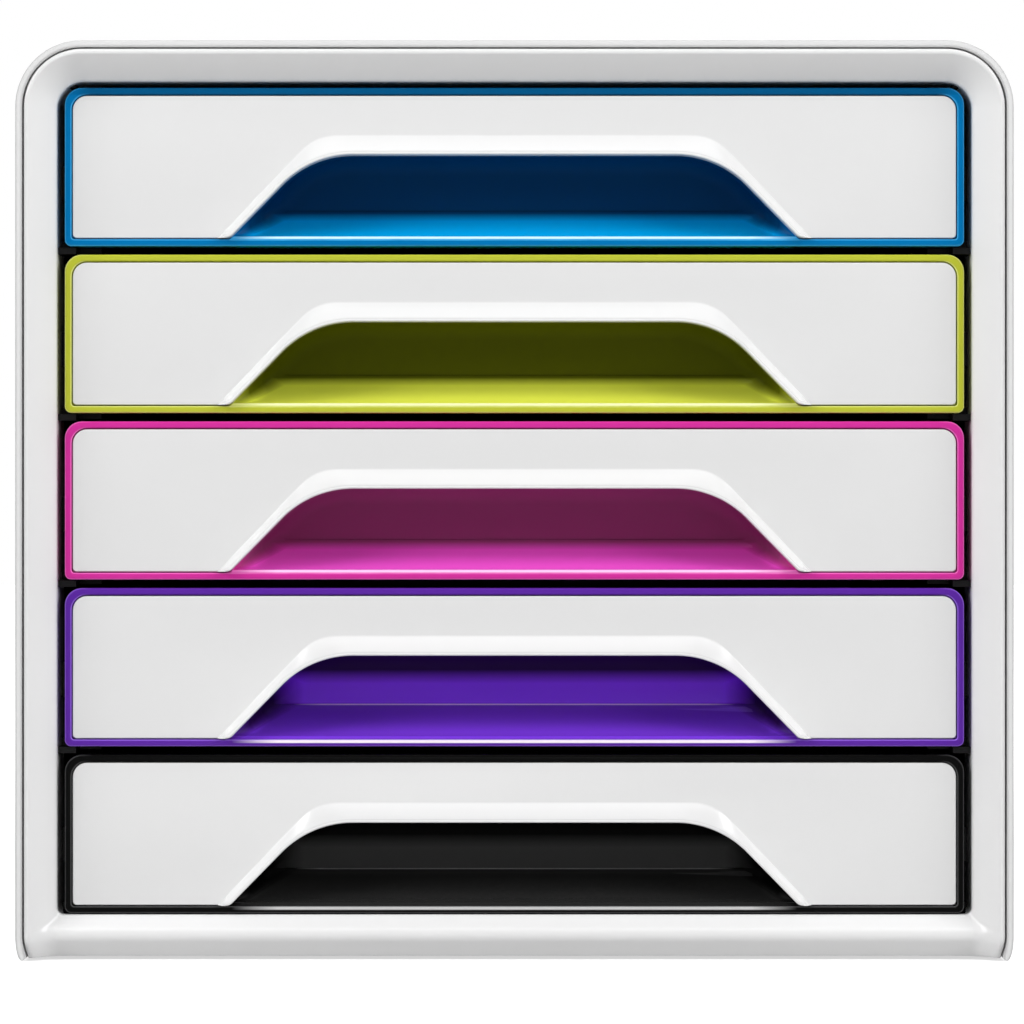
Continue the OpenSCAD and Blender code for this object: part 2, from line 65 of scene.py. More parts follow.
# Bezel
BEZEL_W = 8.8
BEZEL_BOW = 0.4
BEZEL_T = 2.2
BEZEL_SLOPE = 45.0
BEZEL_RIM_R = 1.0
BEZEL_ROLL_R = 2.0
BEZEL_WALL_D = 11.0
BEZEL_SKIRT_D = 28.0
BEZEL_SKIRT_T = 0.8
BEZEL_FLANGE_D = 14.0
BAR_FOOT_Z = 0.4
BAR_FOOT_CURVE_Z = 6.5
BAR_FOOT_LEAN = 0.8
BAR_FOOT_BEND = 3.0
SILL_H = 12.6
SILL_FOOT_Z = 0.6
SILL_NOSE_R = 3.4
SILL_NOSE_Y = 4.0
SILL_NOSE_Z = 6.9
SILL_TOP_LEAN = 42.0
SILL_LOW_LEAN = 35.0
SILL_ROLL_R = 1.2
SILL_EDGE_R = 0.8
SILL_CORNER_R = 2.0
SILL_BLEND = 4.0
SILL_TOP_BLEND = 0.7

# Drawer fronts
FRONT_H = 45.9
FRONT_GAP = 2.5
FRONT_RECESS = 8.0
SIDE_GAP = 2.25
HEAD_GAP = 1.75
SILL_GAP = 0.4
RIM_T = 1.95
RIM_D = 12.0
RIM_EDGE_R = 0.5
FRONT_TOP_R = 4.9
FRONT_LOW_R = 1.8
FASCIA_TOP_R = 4.1
FASCIA_GAP = 0.35
FASCIA_T = 2.3
FASCIA_INSET = 0.2
FASCIA_EDGE_R = 0.4
FASCIA_LOW_R = 1.2
FASCIA_GRIP_GAP = 0.5
SEAT_T = 1.8

# Handle
GRIP_W = 165.0
GRIP_H = 26.35
GRIP_SLOPE = 45.6
GRIP_R = 29.0
GRIP_FOOT_R = 2.75
LIP_W = 5.8
LIP_FOOT_W = 3.6
LIP_SLOPE = 46.4
LIP_R = 14.0
LIP_SINK = 0.02
POCKET_D = 20.0
POCKET_T = 1.8
POCKET_STEP = 0.4
POCKET_FRONT_R = 0.3
POCKET_FILLET_R = 3.0
POCKET_FILLET_RUN = 6.0
POCKET_BACK_R = 1.3
POCKET_CUP_R = 5.0
POCKET_BACK_D = 19.6
POCKET_SKIN_T = 0.3
SCOOP_H = 9.5
SCOOP_LEDGE = 1.0
SCOOP_LEDGE_R = 0.3
SCOOP_EDGE = 0.85
SCOOP_EDGE_TOP_D = 0.8
SCOOP_EDGE_PROUD = 0.01
SCOOP_EDGE_OVERLAP = 0.3
LOW_EDGE_DROP = 1.1
LOW_DRAWERS = (4, 5)
TRAY_T = 1.8

# Meshes: into how many parts straight and round forms are divided
LEG_STEPS = 6
TURN_STEPS = 22
TOP_STEPS = 8
SILL_STEPS = 5
FAN_STEPS = 14
EDGE_STEPS = 6
ROLL_STEPS = 8
SLOPE_STEPS = 14
NOSE_STEPS = 7
LEAN_STEPS = 4
GRIP_SLOPE_STEPS = 6
GRIP_TOP_STEPS = 20
GRIP_ROOF_STEPS = 3
POCKET_FLOOR_STEPS = 5
POCKET_WALL_STEPS = 8
POCKET_SIDE_STEPS = 6
CURVE_STEPS = 3
# Angles down a quarter-round edge, along the scoop, up the pocket's cup and over its ledge
QUARTER = range(0, 91, 15)
SCOOP_ANGLES = range(3, 80, 4)
CUP_ANGLES = range(0, 91, 9)
LEDGE_ANGLES = range(0, 91, 30)
# Margin in comparing lengths
TINY = 0.001
# Softening: radii of edges, distances over which points are welded, and the angles in degrees
# below which faces are one flat and above which edges are softened or stay sharp
BLOCK_EDGE_R = 0.3
NODE_EDGE_R = 0.35
THIN_EDGE_R = 0.2
NODE_WELD = 0.01
PIECE_WELD = 0.0001
FLAT_ANGLE = 0.5
NODE_EDGE_ANGLE = 50
SHARP_ANGLE = 38

# Derived places
HALF_W = CABINET_W / 2
FRONT_Y = -CABINET_D / 2
FACE_Y = FRONT_Y + FRONT_RECESS
BEZEL_HALF = HALF_W - SHELL_T - SEAM
BEZEL_R = SHELL_R - SHELL_T - SEAM
APERTURE_HALF = BEZEL_HALF - BEZEL_W
FRONT_HALF = APERTURE_HALF - SIDE_GAP
FASCIA_HALF = FRONT_HALF - RIM_T - FASCIA_GAP
FASCIA_LOW = RIM_T + FASCIA_GAP
SILL_TOP = STAND_H + SILL_H
FIRST_Z = SILL_TOP + SILL_GAP
PITCH = FRONT_H + FRONT_GAP
BEZEL_TOP = FIRST_Z + DRAWERS * PITCH - FRONT_GAP + HEAD_GAP + BEZEL_W
TOP_Z = BEZEL_TOP + SEAM + SHELL_T
SEAT_D = FASCIA_INSET + FASCIA_T
SILL_SKIRT_D = BEZEL_WALL_D + 0.1
POCKET_RUN = POCKET_D - SCOOP_LEDGE
LEDGE_Z = RIM_T + SCOOP_H
CUP_START = POCKET_BACK_D - POCKET_CUP_R


def sind(a):
    """Sine of an angle in degrees."""
    return math.sin(math.radians(a))


def cosd(a):
    """Cosine of an angle in degrees."""
    return math.cos(math.radians(a))


def tand(a):
    """Tangent of an angle in degrees."""
    return math.tan(math.radians(a))


def mix(a, b, share):
    """The value that lies at a share of the way from a to b."""
    return a + (b - a) * share


def between(a, b, steps):
    """Values that divide the way from a to b into steps, without its ends."""
    return [mix(a, b, i / steps) for i in range(1, steps)]


def along(p, q, steps):
    """Points that divide the way from p to q into steps, without its ends."""
    return list(zip(between(p[0], q[0], steps), between(p[1], q[1], steps)))


def ease(share):
    """A share from 0 to 1 that starts and ends softly."""
    share = min(max(share, 0.0), 1.0)
    return share * share * (3 - 2 * share)


def arc(centre, r, a0, a1, steps):
    """Points on an arc from angle a0 to a1."""
    turns = [a0 + (a1 - a0) * i / steps for i in range(steps + 1)]
    return [(centre[0] + r * cosd(a), centre[1] + r * sind(a)) for a in turns]


def drawer_z(n):
    """Height of drawer n's front above the desk; drawer 1 is the top one."""
    return FIRST_Z + (DRAWERS - n) * PITCH


# -------- meshes

def add_object(name, data):
    """A new object in the scene."""
    made = bpy.data.objects.new(name, data)
    bpy.context.scene.collection.objects.link(made)
    return made


def add_points(bm, points):
    """New corners of a mesh at points in millimetres."""
    return [bm.verts.new((x * MM, y * MM, z * MM)) for x, y, z in points]


def join_rings(bm, rings, closed_path=False):
    """Skin a row of rings of points, with a cap on each end unless the row closes on itself."""
    rows = [add_points(bm, ring) for ring in rings]
    count = len(rows[0])
    pairs = list(zip(rows, rows[1:])) + ([(rows[-1], rows[0])] if closed_path else [])
    for a, b in pairs:
        for i in range(count):
            j = (i + 1) % count
            bm.faces.new((a[i], a[j], b[j], b[i]))
    if not closed_path:
        bm.faces.new(rows[0])
        bm.faces.new(rows[-1])


def soft_block(bm, low, high):
    """A block between two corners with small chamfers on all its edges."""
    made = bmesh.ops.create_cube(bm, size=1.0)["verts"]
    for v in made:
        v.co = Vector(mix(low[i], high[i], v.co[i] + 0.5) * MM for i in range(3))
    edges = list(dict.fromkeys(e for v in made for e in v.link_edges))
    bmesh.ops.bevel(bm, geom=edges, offset=BLOCK_EDGE_R * MM, segments=2, profile=0.5, affect="EDGES")


def finish_piece(name, bm, material, body, node):
    """Turn the mesh into a smooth piece that rides on a body and stands for a node."""
    bmesh.ops.remove_doubles(bm, verts=bm.verts, dist=PIECE_WELD * MM)
    bmesh.ops.recalc_face_normals(bm, faces=bm.faces)
    mesh = bpy.data.meshes.new(name)
    bm.to_mesh(mesh)
    bm.free()
    mesh.shade_smooth()
    mesh.set_sharp_from_angle(angle=math.radians(SHARP_ANGLE))
    mesh.materials.append(material)
    piece = add_object(name, mesh)
    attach(piece, body)
    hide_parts(node)


def soft_rect(half, low, high, r_low, r_high):
    """Outline of a rectangle about the Y axis, as X and Z, from its bottom right corner round."""
    corners = ((half - r_low, low + r_low, r_low, -90), (half - r_high, high - r_high, r_high, 0),
               (r_high - half, high - r_high, r_high, 90), (r_low - half, low + r_low, r_low, 180))
    return [p for x, z, r, a in corners for p in arc((x, z), r, a, a + 90, ROLL_STEPS)]


# -------- finishes

# Noises of the finishes: size of their features in millimetres, detail and roughness
NOISES = {
    "drift": (60.0, 2.0, 0.5),
    "swirl": (14.0, 3.0, 0.55),
    "grain": (0.5, 2.0, 0.6),
    "patches": (9.0, 3.0, 0.5),
    "specks": (1.6, 4.0, 0.7),
    "clouds": (40.0, 2.0, 0.5),
    "floor": (25.0, 2.0, 0.5),
}
# The span of each noise that is spread over its whole effect
TONE_SPAN = (0.45, 0.95)
SWIRL_SPAN = (0.3, 0.7)
PATCH_SPAN = (0.3, 0.7)
SPECK_SPAN = (0.42, 0.68)
CLOUD_SPAN = (0.35, 0.7)
# Shares of the swirls in the tone and in the surface's swell
SWIRL_IN_TONE = 0.4
SWIRL_IN_SWELL = 0.5
# Shares that are left where patches and clouds are at their thinnest
LEAST_RUB_AND_HIGHLIGHT = 0.45
LEAST_DUST = 0.25
# How sharply an edge turns where its wear and painted highlight start and where they are strongest
RUB_AND_HIGHLIGHT_SPAN = (0.53, 0.58)
# How far a face looks up where dust starts to lie and where it lies thickest
DUST_SPAN = (0.55, 0.98)
# What a mask goes to where it ends instead of beginning
FALL = (1.0, 0.0)

# Painted shade in the finger pocket's lower corners: where it starts and how wide it runs out, low and high
SHADE_LOW_X = 79.5
SHADE_HIGH_X = 62.0
SHADE_LOW_W = 2.5
SHADE_HIGH_W = 9.0
# Depth in the pocket at which its painted shade is full, and the depths past its back where the masks end
SHADE_DEEP = 8.0
SHADE_BACK = (0.1, 0.2)
# Heights in a drawer's front between which painted shade begins: high on the scoop, or on a wall in low
# light
HIGH_LIGHT_Z = (8.4, 10.8)
LOW_LIGHT_Z = (17.5, 21.5)
# Share of the scoop's painted light that is left at the ledge in low light
LOW_SCOOP_LIGHT = 0.35
# How much more matt the surface is where shade is painted
SHADE_ROUGH = 0.35
# Spans about the ledge: where the back wall's painted tone starts, the two sides of the painted highlight
# line, and the end and fall of the scoop's painted light
WALL_START = (-0.05, 0.05)
LINE_LOW = (-0.36, -0.26)
LINE_HIGH = (-0.02, 0.04)
SCOOP_END = (-0.1, 0.1)
SCOOP_FALL = (-5.0, 0.0)
# Depths between which the scoop's painted light and the painted highlight on its front edge begin and end
SCOOP_START = (0.9, 2.0)
EDGE_DEPTH = (1.2, 1.8)
# Spans about the low rim and the scoop edge's top, between which a highlight is painted, and about the high
# rim, where painted shadow starts
EDGE_LOW = (0.0, 0.25)
EDGE_HIGH = (-0.05, 0.3)
TOP_LOW = (-0.1, 0.0)
# Spans about the ends of the painted highlight line on the ledge, of the painted highlight along the
# opening and of the high rim's painted shadow
LINE_ENDS = (-5.0, 3.0)
EDGE_ENDS = (-14.0, -0.5)
TOP_ENDS = (-8.0, -1.0)
# How far the rim's edge turns from the front where its painted highlight starts and is full, and how strong
# it is
RIM_TURN = (0.98, 0.8)
RIM_HIGHLIGHT = 0.8

DUST_COLOUR = (0.42, 0.40, 0.37, 1)
# Colour of the painted shade on front edges that turn away from the light
EDGE_SHADE = (0.03, 0.03, 0.03, 1)


def new_group(name, inputs, outputs):
    """An empty node group, with the sockets that it is given and those that it makes."""
    group = bpy.data.node_groups.new(name, "ShaderNodeTree")
    for label, value in inputs.items():
        kind = "NodeSocketColor" if isinstance(value, tuple) else "NodeSocketFloat"
        group.interface.new_socket(label, in_out="INPUT", socket_type=kind).default_value = value
    for label in outputs:
        kind = "NodeSocketColor" if label == "Colour" else "NodeSocketFloat"
        group.interface.new_socket(label, in_out="OUTPUT", socket_type=kind)
    return group, group.nodes.new("NodeGroupInput").outputs, group.nodes.new("NodeGroupOutput").inputs


def feed(tree, socket, value):
    """Link a value to a socket, or set it there if it is a plain number or colour."""
    if isinstance(value, bpy.types.NodeSocket):
        tree.links.new(value, socket)
    else:
        socket.default_value = value


def node_output(tree, kind, output, **values):
    """The output of a new node, with the values of its inputs; _ in a label stands for a space."""
    node = tree.nodes.new("ShaderNode" + kind)
    for label, value in values.items():
        feed(tree, node.inputs[label.replace("_", " ")], value)
    return node.outputs[output]


def noise(tree, place, name):
    """One of the named noises."""
    size, detail, roughness = NOISES[name]
    return node_output(tree, "TexNoise", "Fac", Vector=place, Scale=1 / (size * MM), Detail=detail,
                       Roughness=roughness)


def spread(tree, value, span, to=(0.0, 1.0)):
    """Spread what lies within a span over another one."""
    return node_output(tree, "MapRange", "Result", Value=value, From_Min=span[0], From_Max=span[1],
                       To_Min=to[0], To_Max=to[1])


def combine(tree, operation, whole, *others):
    """Combine values by one operation, from left to right."""
    for other in others:
        node = tree.nodes.new("ShaderNodeMath")
        node.operation = operation
        feed(tree, node.inputs[0], whole)
        feed(tree, node.inputs[1], other)
        whole = node.outputs["Value"]
    return whole


def product(tree, *values):
    """All the values multiplied."""
    return combine(tree, "MULTIPLY", *values)


def place_on(tree):
    """The place on the piece, in the cabinet's own coordinates."""
    return node_output(tree, "TexCoord", "Object")


def split(tree, vector):
    """The X, Y and Z of a vector."""
    node = tree.nodes.new("ShaderNodeSeparateXYZ")
    tree.links.new(vector, node.inputs["Vector"])
    return node.outputs["X"], node.outputs["Y"], node.outputs["Z"]


def facing(tree):
    """The way that the surface faces, as X, Y and Z."""
    return split(tree, node_output(tree, "NewGeometry", "Normal"))


def around(mark, span):
    """A span in millimetres about a mark, in metres."""
    return (mark + span[0]) * MM, (mark + span[1]) * MM


def moulded_skin_group():
    """Slow drifts of tone and gloss in moulded plastic, and the fine swell of its surface."""
    group, given, made = new_group(
        "moulded_skin",
        {"Colour": (0.8, 0.8, 0.8, 1), "Tone Drift": 0.04, "Roughness": 0.25, "Gloss Drift": 0.06,
         "Fine Grain": 0.2},
        ("Colour", "Roughness", "Height"),
    )
    place = place_on(group)
    drift, swirl, grain = (noise(group, place, name) for name in ("drift", "swirl", "grain"))
    darkest = combine(group, "SUBTRACT", 1.0, given["Tone Drift"])
    mixed = combine(group, "ADD", drift, product(group, swirl, SWIRL_IN_TONE))
    tone = spread(group, mixed, TONE_SPAN, (darkest, 1.0))
    tinted = node_output(group, "HueSaturation", "Color", Color=given["Colour"], Value=tone)
    matter = product(group, given["Gloss Drift"], spread(group, swirl, SWIRL_SPAN, (-0.5, 0.5)))
    swell = product(group, swirl, SWIRL_IN_SWELL)
    fine = product(group, grain, given["Fine Grain"])
    feed(group, made["Colour"], tinted)
    feed(group, made["Roughness"], combine(group, "ADD", given["Roughness"], matter))
    feed(group, made["Height"], combine(group, "ADD", swell, fine))
    return group


def worn_and_highlit_edge_group():
    """Mask of the outward edges, painted lighter: partly wear, where hands and cloths polish plastic first,
    and partly a painted highlight.
    """
    group, given, made = new_group("worn_and_highlit_edge", {"Amount": 1.0}, ("Mask",))
    sharp = spread(group, node_output(group, "NewGeometry", "Pointiness"), RUB_AND_HIGHLIGHT_SPAN)
    patchy = spread(group, noise(group, place_on(group), "patches"), PATCH_SPAN, (LEAST_RUB_AND_HIGHLIGHT, 1.0))
    feed(group, made["Mask"], product(group, sharp, patchy, given["Amount"]))
    return group


def fine_dust_group():
    """Mask of the thin dust that settles on what faces upwards."""
    group, given, made = new_group("fine_dust", {"Amount": 0.1}, ("Mask",))
    place = place_on(group)
    upward = spread(group, facing(group)[2], DUST_SPAN)
    specks = spread(group, noise(group, place, "specks"), SPECK_SPAN)
    clouds = spread(group, noise(group, place, "clouds"), CLOUD_SPAN, (LEAST_DUST, 1.0))
    feed(group, made["Mask"], product(group, specks, clouds, upward, given["Amount"]))
    return group


def front_painted_light_group():
    """Masks of painted light and shade on a drawer's front: painted shade in the pocket, painted light on
    its scoop and, in low light, on its back wall, painted highlights on the ledge, the scoop's front edge
    and the rim's round edges, and a painted shadow on the top rim.
    """
    group, given, made = new_group(
        "front_painted_light",
        {"Shade Low": 0.011, "Shade High": 0.0115, "Edge Drop": 0.0, "Scoop Fall": 0.5},
        ("Shade", "Scoop", "Wall", "Ledge", "Edge", "Top", "Rim"),
    )
    x, y, z = split(group, place_on(group))
    depth = combine(group, "SUBTRACT", y, FACE_Y * MM)
    above_first = combine(group, "SUBTRACT", z, FIRST_Z * MM)
    height = combine(group, "MODULO", above_first, PITCH * MM)
    aside = combine(group, "ABSOLUTE", x, 0.0)

    def put(label, *masks):
        """Send the product of some masks to an output."""
        feed(group, made[label], product(group, *masks))

    def across(value, mark, span, to=(0.0, 1.0)):
        """A mask that begins, or ends, over a span about a mark."""
        return spread(group, value, around(mark, span), to)

    # Distance from the opening's slope, counted sideways, as 1 in the corner's painted shade and 0 where
    # the scoop's painted light is full
    scoop_span = (RIM_T * MM, LEDGE_Z * MM)
    end = spread(group, height, scoop_span, (SHADE_LOW_X * MM, SHADE_HIGH_X * MM))
    width = spread(group, height, scoop_span, (SHADE_LOW_W * MM, SHADE_HIGH_W * MM))
    corner = combine(group, "DIVIDE", combine(group, "SUBTRACT", aside, end), width)
    corner = spread(group, corner, (0.0, 1.0))

    # Painted shade: deep in the pocket, below the top rim, high up and in the scoop's lower corners
    below_top = spread(group, height, (FRONT_H * MM, (FRONT_H - RIM_T) * MM))
    deep = spread(group, depth, (SEAT_D * MM, SHADE_DEEP * MM))
    inside = across(depth, POCKET_BACK_D, SHADE_BACK, FALL)
    high = spread(group, height, (given["Shade Low"], given["Shade High"]))
    put("Shade", combine(group, "MAXIMUM", high, corner), deep, below_top, inside)
    # The back wall above the ledge in its own painted tone: painted shade on most drawers, painted light on
    # the drawers in low light
    put("Wall", across(height, LEDGE_Z, WALL_START), deep, below_top, inside)
    # A thin highlight painted along the ledge's round edge
    put("Ledge", across(height, LEDGE_Z, LINE_LOW), across(height, LEDGE_Z, LINE_HIGH, FALL), deep,
        across(aside, SHADE_HIGH_X, LINE_ENDS, FALL), inside)
    # Painted light on the scoop, falling off towards the ledge and the corners
    put("Scoop", across(height, LEDGE_Z, SCOOP_END, FALL), inside, across(depth, 0.0, SCOOP_START),
        across(height, LEDGE_Z, SCOOP_FALL, (1.0, given["Scoop Fall"])),
        combine(group, "SUBTRACT", 1.0, corner))

    # A highlight painted along the scoop's front edge, lower on the drawers in low light
    edge_height = combine(group, "ADD", height, given["Edge Drop"])
    put("Edge", across(edge_height, RIM_T, EDGE_LOW),
        across(edge_height, RIM_T + SCOOP_EDGE, EDGE_HIGH, FALL),
        across(aside, GRIP_W / 2, EDGE_ENDS, FALL), across(depth, 0.0, EDGE_DEPTH, FALL))
    # A shadow painted on the top rim, under the bezel's top
    put("Top", across(height, FRONT_H - RIM_T, TOP_LOW), across(aside, FRONT_HALF, TOP_ENDS, FALL))
    # Highlights painted on the rim's round front edges
    forward = combine(group, "ABSOLUTE", facing(group)[1], 0.0)
    put("Rim", spread(group, forward, RIM_TURN, (0.0, RIM_HIGHLIGHT)),
        combine(group, "LESS_THAN", depth, RIM_EDGE_R * MM))
    return group


def edge_shade_group():
    """Mask of painted shade on the front edges that turn away from the opening, or towards the seam."""
    group, given, made = new_group(
        "painted_edge_shade", {"Sides": 0.4, "Top": 0.2, "Inner": 0.3, "Depth": 0.001}, ("Mask",))
    x, y, _ = split(group, place_on(group))
    sideways, _, upward = facing(group)
    outward = product(group, sideways, combine(group, "SIGN", x, 0.0))
    inward = product(group, outward, -1.0)
    parts = [product(group, combine(group, "MAXIMUM", turned, 0.0), given[label])
             for label, turned in (("Sides", outward), ("Inner", inward), ("Top", upward))]
    depth = combine(group, "SUBTRACT", y, FRONT_Y * MM)
    near = combine(group, "LESS_THAN", depth, given["Depth"])
    feed(group, made["Mask"], product(group, combine(group, "ADD", *parts), near))
    return group


MOULDED_SKIN = moulded_skin_group()
WORN_AND_HIGHLIT_EDGE = worn_and_highlit_edge_group()
FINE_DUST = fine_dust_group()
FRONT_PAINTED_LIGHT = front_painted_light_group()
EDGE_SHADE_GROUP = edge_shade_group()


def placed(tree, group, values):
    """A group placed in a material with its own values."""
    node = tree.nodes.new("ShaderNodeGroup")
    node.node_tree = group
    for label, value in values.items():
        node.inputs[label].default_value = value
    return node.outputs


def blend_colours(tree, mask, a, b):
    """Colour a where the mask is 0 and colour b where it is 1."""
    node = tree.nodes.new("ShaderNodeMix")
    node.data_type = "RGBA"
    tree.links.new(mask, node.inputs["Factor"])
    feed(tree, node.inputs[6], a)
    feed(tree, node.inputs[7], b)
    return node.outputs[2]


def grey(level):
    """A grey of one level."""
    return (level, level, level)


def plastic(name, colour, wear_and_highlight, roughness=0.22, tone=0.03, gloss=0.06, grain=0.1, swell=0.02,
            dust=0.05, specular=0.5, rub_and_highlight=1.0, pocket=None, painted_edge_shade=None):
    """A moulded plastic: drifting tone and gloss, outward edges worn and painted lighter as a highlight, a
    trace of dust.

    pocket holds the colours of the painted shade, light and highlights on a drawer's front and the values
    of their group;
    the last argument holds the values of the group that paints shade on a moulding's front edges.
    """
    material = bpy.data.materials.new(name)
    material.use_nodes = True
    tree = material.node_tree
    shader = tree.nodes["Principled BSDF"].inputs
    shader["IOR"].default_value = 1.5
    shader["Specular IOR Level"].default_value = specular
    skin = placed(tree, MOULDED_SKIN, {"Colour": colour + (1,), "Tone Drift": tone, "Roughness": roughness,
                                       "Gloss Drift": gloss, "Fine Grain": grain})
    # Outward edges take the lighter edge colour: partly wear, partly a painted highlight
    edge = placed(tree, WORN_AND_HIGHLIT_EDGE, {"Amount": rub_and_highlight})
    settled = placed(tree, FINE_DUST, {"Amount": dust})
    worn_and_painted = blend_colours(tree, edge["Mask"], skin["Colour"], wear_and_highlight + (1,))
    rough = skin["Roughness"]
    # Painted shade, light and highlights in and round a drawer's finger pocket
    if pocket:
        colours, values = pocket
        masks = placed(tree, FRONT_PAINTED_LIGHT, values)
        for label, tint in colours.items():
            worn_and_painted = blend_colours(tree, masks[label], worn_and_painted, tint + (1,))
        rough = combine(tree, "ADD", rough, product(tree, masks["Shade"], SHADE_ROUGH))
    # Painted shade on front edges that turn away from the light
    if painted_edge_shade:
        worn_and_painted = blend_colours(tree, placed(tree, EDGE_SHADE_GROUP, painted_edge_shade)["Mask"], worn_and_painted, EDGE_SHADE)
    feed(tree, shader["Base Color"], blend_colours(tree, settled["Mask"], worn_and_painted, DUST_COLOUR))
    feed(tree, shader["Roughness"], rough)
    feed(tree, shader["Normal"], node_output(tree, "Bump", "Normal", Strength=1.0, Distance=swell * MM,
                                             Height=skin["Height"]))
    return material


def tray_plastic(name, colour):
    """The same plastic inside and behind a drawer's front, where no hand rubs it and no edge highlight is
    painted.
    """
    return plastic(name, colour, colour, roughness=0.3, tone=0.04, gloss=0.04, swell=0.015, specular=0.2,
                   dust=0.06, rub_and_highlight=0.0)


def front_gloss(name, colour, wear_and_highlight, scoop, shade, edge, wall=None, ledge=None, top=None, specular=0.05):
    """The glossy plastic of a front, with painted shade, light and highlights round its pocket; with a wall
    colour, the pocket's back wall is painted as lit by low light.
    """
    colours = {"Rim": wear_and_highlight, "Scoop": scoop, "Wall": wall or shade, "Shade": shade,
               "Ledge": ledge or shade, "Top": top or colour, "Edge": edge}
    low, high = LOW_LIGHT_Z if wall else HIGH_LIGHT_Z
    drop = LOW_EDGE_DROP if wall else 0.0
    values = {"Shade Low": low * MM, "Shade High": high * MM, "Edge Drop": drop * MM,
              "Scoop Fall": LOW_SCOOP_LIGHT if wall else 1.0}
    return plastic(name, colour, wear_and_highlight, roughness=0.18, tone=0.02, gloss=0.02, swell=0.008,
                   specular=specular, dust=0.02, pocket=(colours, values))


# The shell's and the bezel's front edges are painted darker as shade where they turn away
SHELL_WHITE = plastic(
    "shell_white_gloss", grey(0.80), grey(0.82), roughness=0.36, tone=0.01, gloss=0.02, swell=0.008,
    specular=0.16, painted_edge_shade={"Sides": 0.42, "Top": 0.2, "Inner": 0.35, "Depth": 0.9 * MM})
BEZEL_WHITE = plastic(
    "bezel_white_gloss", grey(0.835), grey(0.85), roughness=0.3, tone=0.01, gloss=0.02, swell=0.008,
    dust=0.015, painted_edge_shade={"Sides": 0.3, "Top": 0.0, "Inner": 0.0, "Depth": 3.0 * MM})
FASCIA_WHITE = plastic("fascia_white_gloss", grey(0.785), grey(0.82), tone=0.01, gloss=0.02, swell=0.008)
CHARCOAL = plastic(
    "charcoal_satin", (0.005, 0.005, 0.0055), (0.012, 0.0125, 0.013), roughness=0.42, gloss=0.12, grain=1.0,
    swell=0.05, specular=0.12, rub_and_highlight=0.0)
RUBBER = plastic(
    "grey_rubber", (0.24, 0.25, 0.26), (0.3, 0.31, 0.32), roughness=0.75, grain=1.5, swell=0.06,
    specular=0.3, rub_and_highlight=0.0)

BLUE = (0.0, 0.185, 0.48)
LIME = (0.53, 0.57, 0.045)
MAGENTA = (0.7, 0.035, 0.35)
PURPLE = (0.115, 0.024, 0.38)

# Finishes of the five drawers' trays and of their fronts, from the top
TRAY_FINISH = [
    tray_plastic("blue_tray_plastic", BLUE),
    tray_plastic("lime_tray_plastic", LIME),
    tray_plastic("magenta_tray_plastic", MAGENTA),
    tray_plastic("purple_tray_plastic", PURPLE),
    tray_plastic("black_tray_plastic", grey(0.006)),
]
# Front colours: the second paints highlights on round edges; scoop is painted light, shade is painted
# shade, edge is a painted highlight on the scoop's front edge; in low light, wall paints a lit back wall
# and ledge a highlight line; the blue top is a painted shadow under the bezel
FRONT_FINISH = [
    ("blue_plastic", front_gloss(
        "blue_gloss", BLUE, (0.06, 0.45, 0.85), scoop=(0.0, 0.46, 1.0), shade=(0.0, 0.045, 0.13),
        edge=(0.6, 0.92, 1.0), top=(0.0, 0.1, 0.26))),
    ("green_plastic", front_gloss(
        "lime_gloss", LIME, (0.78, 0.82, 0.25), scoop=(0.93, 1.0, 0.1), shade=(0.09, 0.1, 0.002),
        edge=(0.93, 0.97, 0.5))),
    ("pink_plastic", front_gloss(
        "magenta_gloss", MAGENTA, (0.95, 0.2, 0.62), scoop=(1.0, 0.105, 0.75), shade=(0.28, 0.05, 0.16),
        edge=(1.0, 0.6, 0.9))),
    ("purple_plastic", front_gloss(
        "purple_gloss", PURPLE, (0.34, 0.16, 0.8), scoop=(0.2, 0.045, 0.72), shade=(0.02, 0.003, 0.06),
        edge=(1.0, 0.9, 1.0), wall=(0.28, 0.045, 0.95), ledge=(0.9, 0.6, 1.0))),
    ("black_plastic", front_gloss(
        "black_gloss", grey(0.003), (0.09, 0.09, 0.092), scoop=grey(0.022), shade=grey(0.0004),
        edge=grey(0.6), wall=grey(0.05), ledge=grey(0.2), specular=0.025)),
]


# -------- shell

def shell_path(low):
    """Points of the shell's outside and the directions into the wall, from bottom left over the top."""
    c, top, r = HALF_W - SHELL_R, TOP_Z - SHELL_R, SHELL_R
    path = [((-HALF_W, z), (1, 0)) for z in [low] + between(low, top, LEG_STEPS)]
    for i in range(TURN_STEPS + 1):
        a = 90 * i / TURN_STEPS
        path.append(((-c - r * cosd(a), top + r * sind(a)), (cosd(a), -sind(a))))
    path += [((x, TOP_Z), (0, -1)) for x in between(-c, c, TOP_STEPS)]
    right = [((-x, z), (-nx, nz)) for (x, z), (nx, nz) in reversed(path) if x < -c + TINY]
    return path + right


def shell_section(t0, t1):
    """Closed section of the wall between two distances from its outside, as distance and depth."""
    r = min(SHELL_EDGE_R, (t1 - t0) / SHELL_EDGE_FIT)
    corners = (((t0 + r, r), 180), ((t1 - r, r), 270), ((t1 - r, CABINET_D - r), 0),
               ((t0 + r, CABINET_D - r), 90))
    return [p for centre, a in corners for p in arc(centre, r, a, a + 90, EDGE_STEPS)]


def ring_on(station, section):
    """A section of the wall set up at one point of the shell's path."""
    (x, z), (nx, nz) = station
    return [(x + u * nx, FRONT_Y + d, z + u * nz) for u, d in section]


